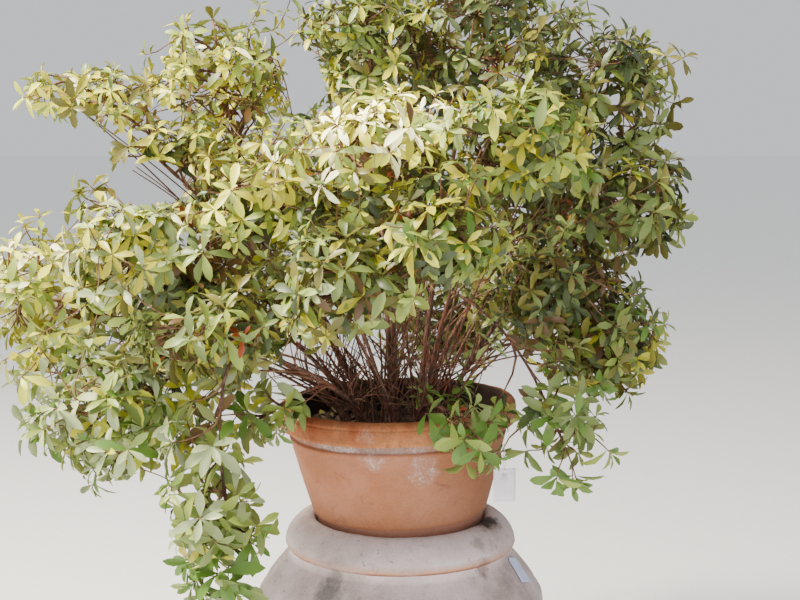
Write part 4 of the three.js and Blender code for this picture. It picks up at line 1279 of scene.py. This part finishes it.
fallen = [leaf for leaf in fallen
          if max(math.hypot(*end[:2]) for end in (
              leaf["root"], leaf["root"] + leaf["direction"] * leaf["length"]))
          < soil_edge_radius]
points, faces, tints = leaf_arrays(fallen)
add_joined("fallen_leaves", points, faces, leaf_finishes, tints)

# Paper tag
# Blank tag of white card that hangs by a loop of cotton string from the twig that droops over
# the rim at the right. The string is knotted under the twig and runs through a punched hole.
tag_width, tag_height, tag_thickness, tag_hole, hole_drop = 44.0, 66.0, 0.5, 2.2, 7.0
tie_place, tie_length, string_radius = 0.85, 56.0, 0.5
tie_top, tie_along = on_curve(tag_twig["curve"], tie_place)
tie_radius = (tag_twig["base"] + (tag_twig["tip"] - tag_twig["base"]) * tie_place
              + string_radius)
hole_place = tie_top - upward(tie_length)
tag_shape = bmesh.new()
half_width = tag_width / 2
outline = [(half_width, 0.0), (half_width, hole_drop), (0.0, hole_drop), (-half_width, hole_drop),
           (-half_width, 0.0), (-half_width, -0.4 * tag_height),
           (-half_width, hole_drop - tag_height), (0.0, hole_drop - tag_height),
           (half_width, hole_drop - tag_height), (half_width, -0.4 * tag_height)]
rings = []
for ring_points in ([(tag_hole * math.cos(a), tag_hole * math.sin(a))
                     for a in np.linspace(0, 2 * math.pi, len(outline), endpoint=False)], outline):
    ring = [tag_shape.verts.new((x, 0.0, z)) for x, z in ring_points]
    rings += [tag_shape.edges.new(pair) for pair in zip(ring, ring[1:] + ring[:1])]
bmesh.ops.bridge_loops(tag_shape, edges=rings)
bmesh.ops.subdivide_edges(tag_shape, edges=tag_shape.edges[:], cuts=2, use_grid_fill=True)
for vert in tag_shape.verts:
    vert.co.y += 1.6 * math.sin(vert.co.z / 26) + 0.9 * math.cos(vert.co.x / 14)
bmesh.ops.recalc_face_normals(tag_shape, faces=tag_shape.faces)
bmesh.ops.solidify(tag_shape, geom=tag_shape.faces[:], thickness=tag_thickness)
bmesh.ops.recalc_face_normals(tag_shape, faces=tag_shape.faces)
tag_place = (plant_frame @ Matrix.Translation(Vector(hole_place))
             @ Matrix.Rotation(math.radians(9), 4, "Z") @ Matrix.Rotation(math.radians(2), 4, "Y"))
# Uncoated card: matt, off-white, with a faint grey mottle of damp, 20 mm apart
card, tree, shader = new_finish("uncoated_white_card", 0.8, 0.3)
where = add_node(tree, "TexCoord", {}).outputs["Object"]
damp = add_node(tree, "TexNoise", {"Vector": where, "Scale": 45.0, "Detail": 4.0})
card_tone = add_node(tree, "Mix", {"Factor": damp, "A": linear("#e0d7e3"), "B": linear("#f7f0f9")},
                     data_type="RGBA")
relief = add_node(tree, "Bump", {"Strength": 0.2, "Distance": 0.0005, "Height": damp})
set_inputs(tree, shader, {"Base Color": card_tone, "Normal": relief})
add_piece("paper_tag", tag_shape, [card], (), tag_place)

# Cotton string: pale, matt and slightly hairy, drawn as a plain round thread with a twist of
# 1 mm
string, tree, shader = new_finish("cotton_string", 0.9, 0.2)
where = add_node(tree, "TexCoord", {}).outputs["Object"]
lay = add_node(tree, "TexNoise", {"Vector": where, "Scale": 900.0, "Detail": 2.0})
string_tone = add_node(tree, "Mix", {
    "Factor": lay, "A": linear("#a99f92"), "B": linear("#e2dbd0")}, data_type="RGBA")
set_inputs(tree, shader, {"Base Color": string_tone})
beside, _ = across(tie_along, tie_along)
beside = unit(np.array([beside[0], beside[1], 0.0]))
string_curves = []
for sign in (1, -1):
    waist = tie_top - upward(tie_radius + 3.0)
    shoulder = tie_top + sign * beside * 1.4 * tie_radius
    crest = tie_top + upward(1.1 * tie_radius)
    string_curves.append([waist, shoulder - upward(tie_radius),
                          shoulder + upward(tie_radius), crest])
    in_hole = hole_place + np.array([0.0, -sign * (tag_thickness + string_radius),
                                     tag_hole - string_radius])
    string_curves.append([waist, waist + np.array([sign * 2.5, 0.0, -tie_length / 3]),
                          in_hole + np.array([sign * 2.0, 0.0, tie_length / 4]), in_hole])
points, faces = tube_arrays(string_curves, [(string_radius, string_radius)] * 4, rings=10,
                            sides=6)
add_joined("tag_string", points, faces, [string], np.zeros(len(faces)))
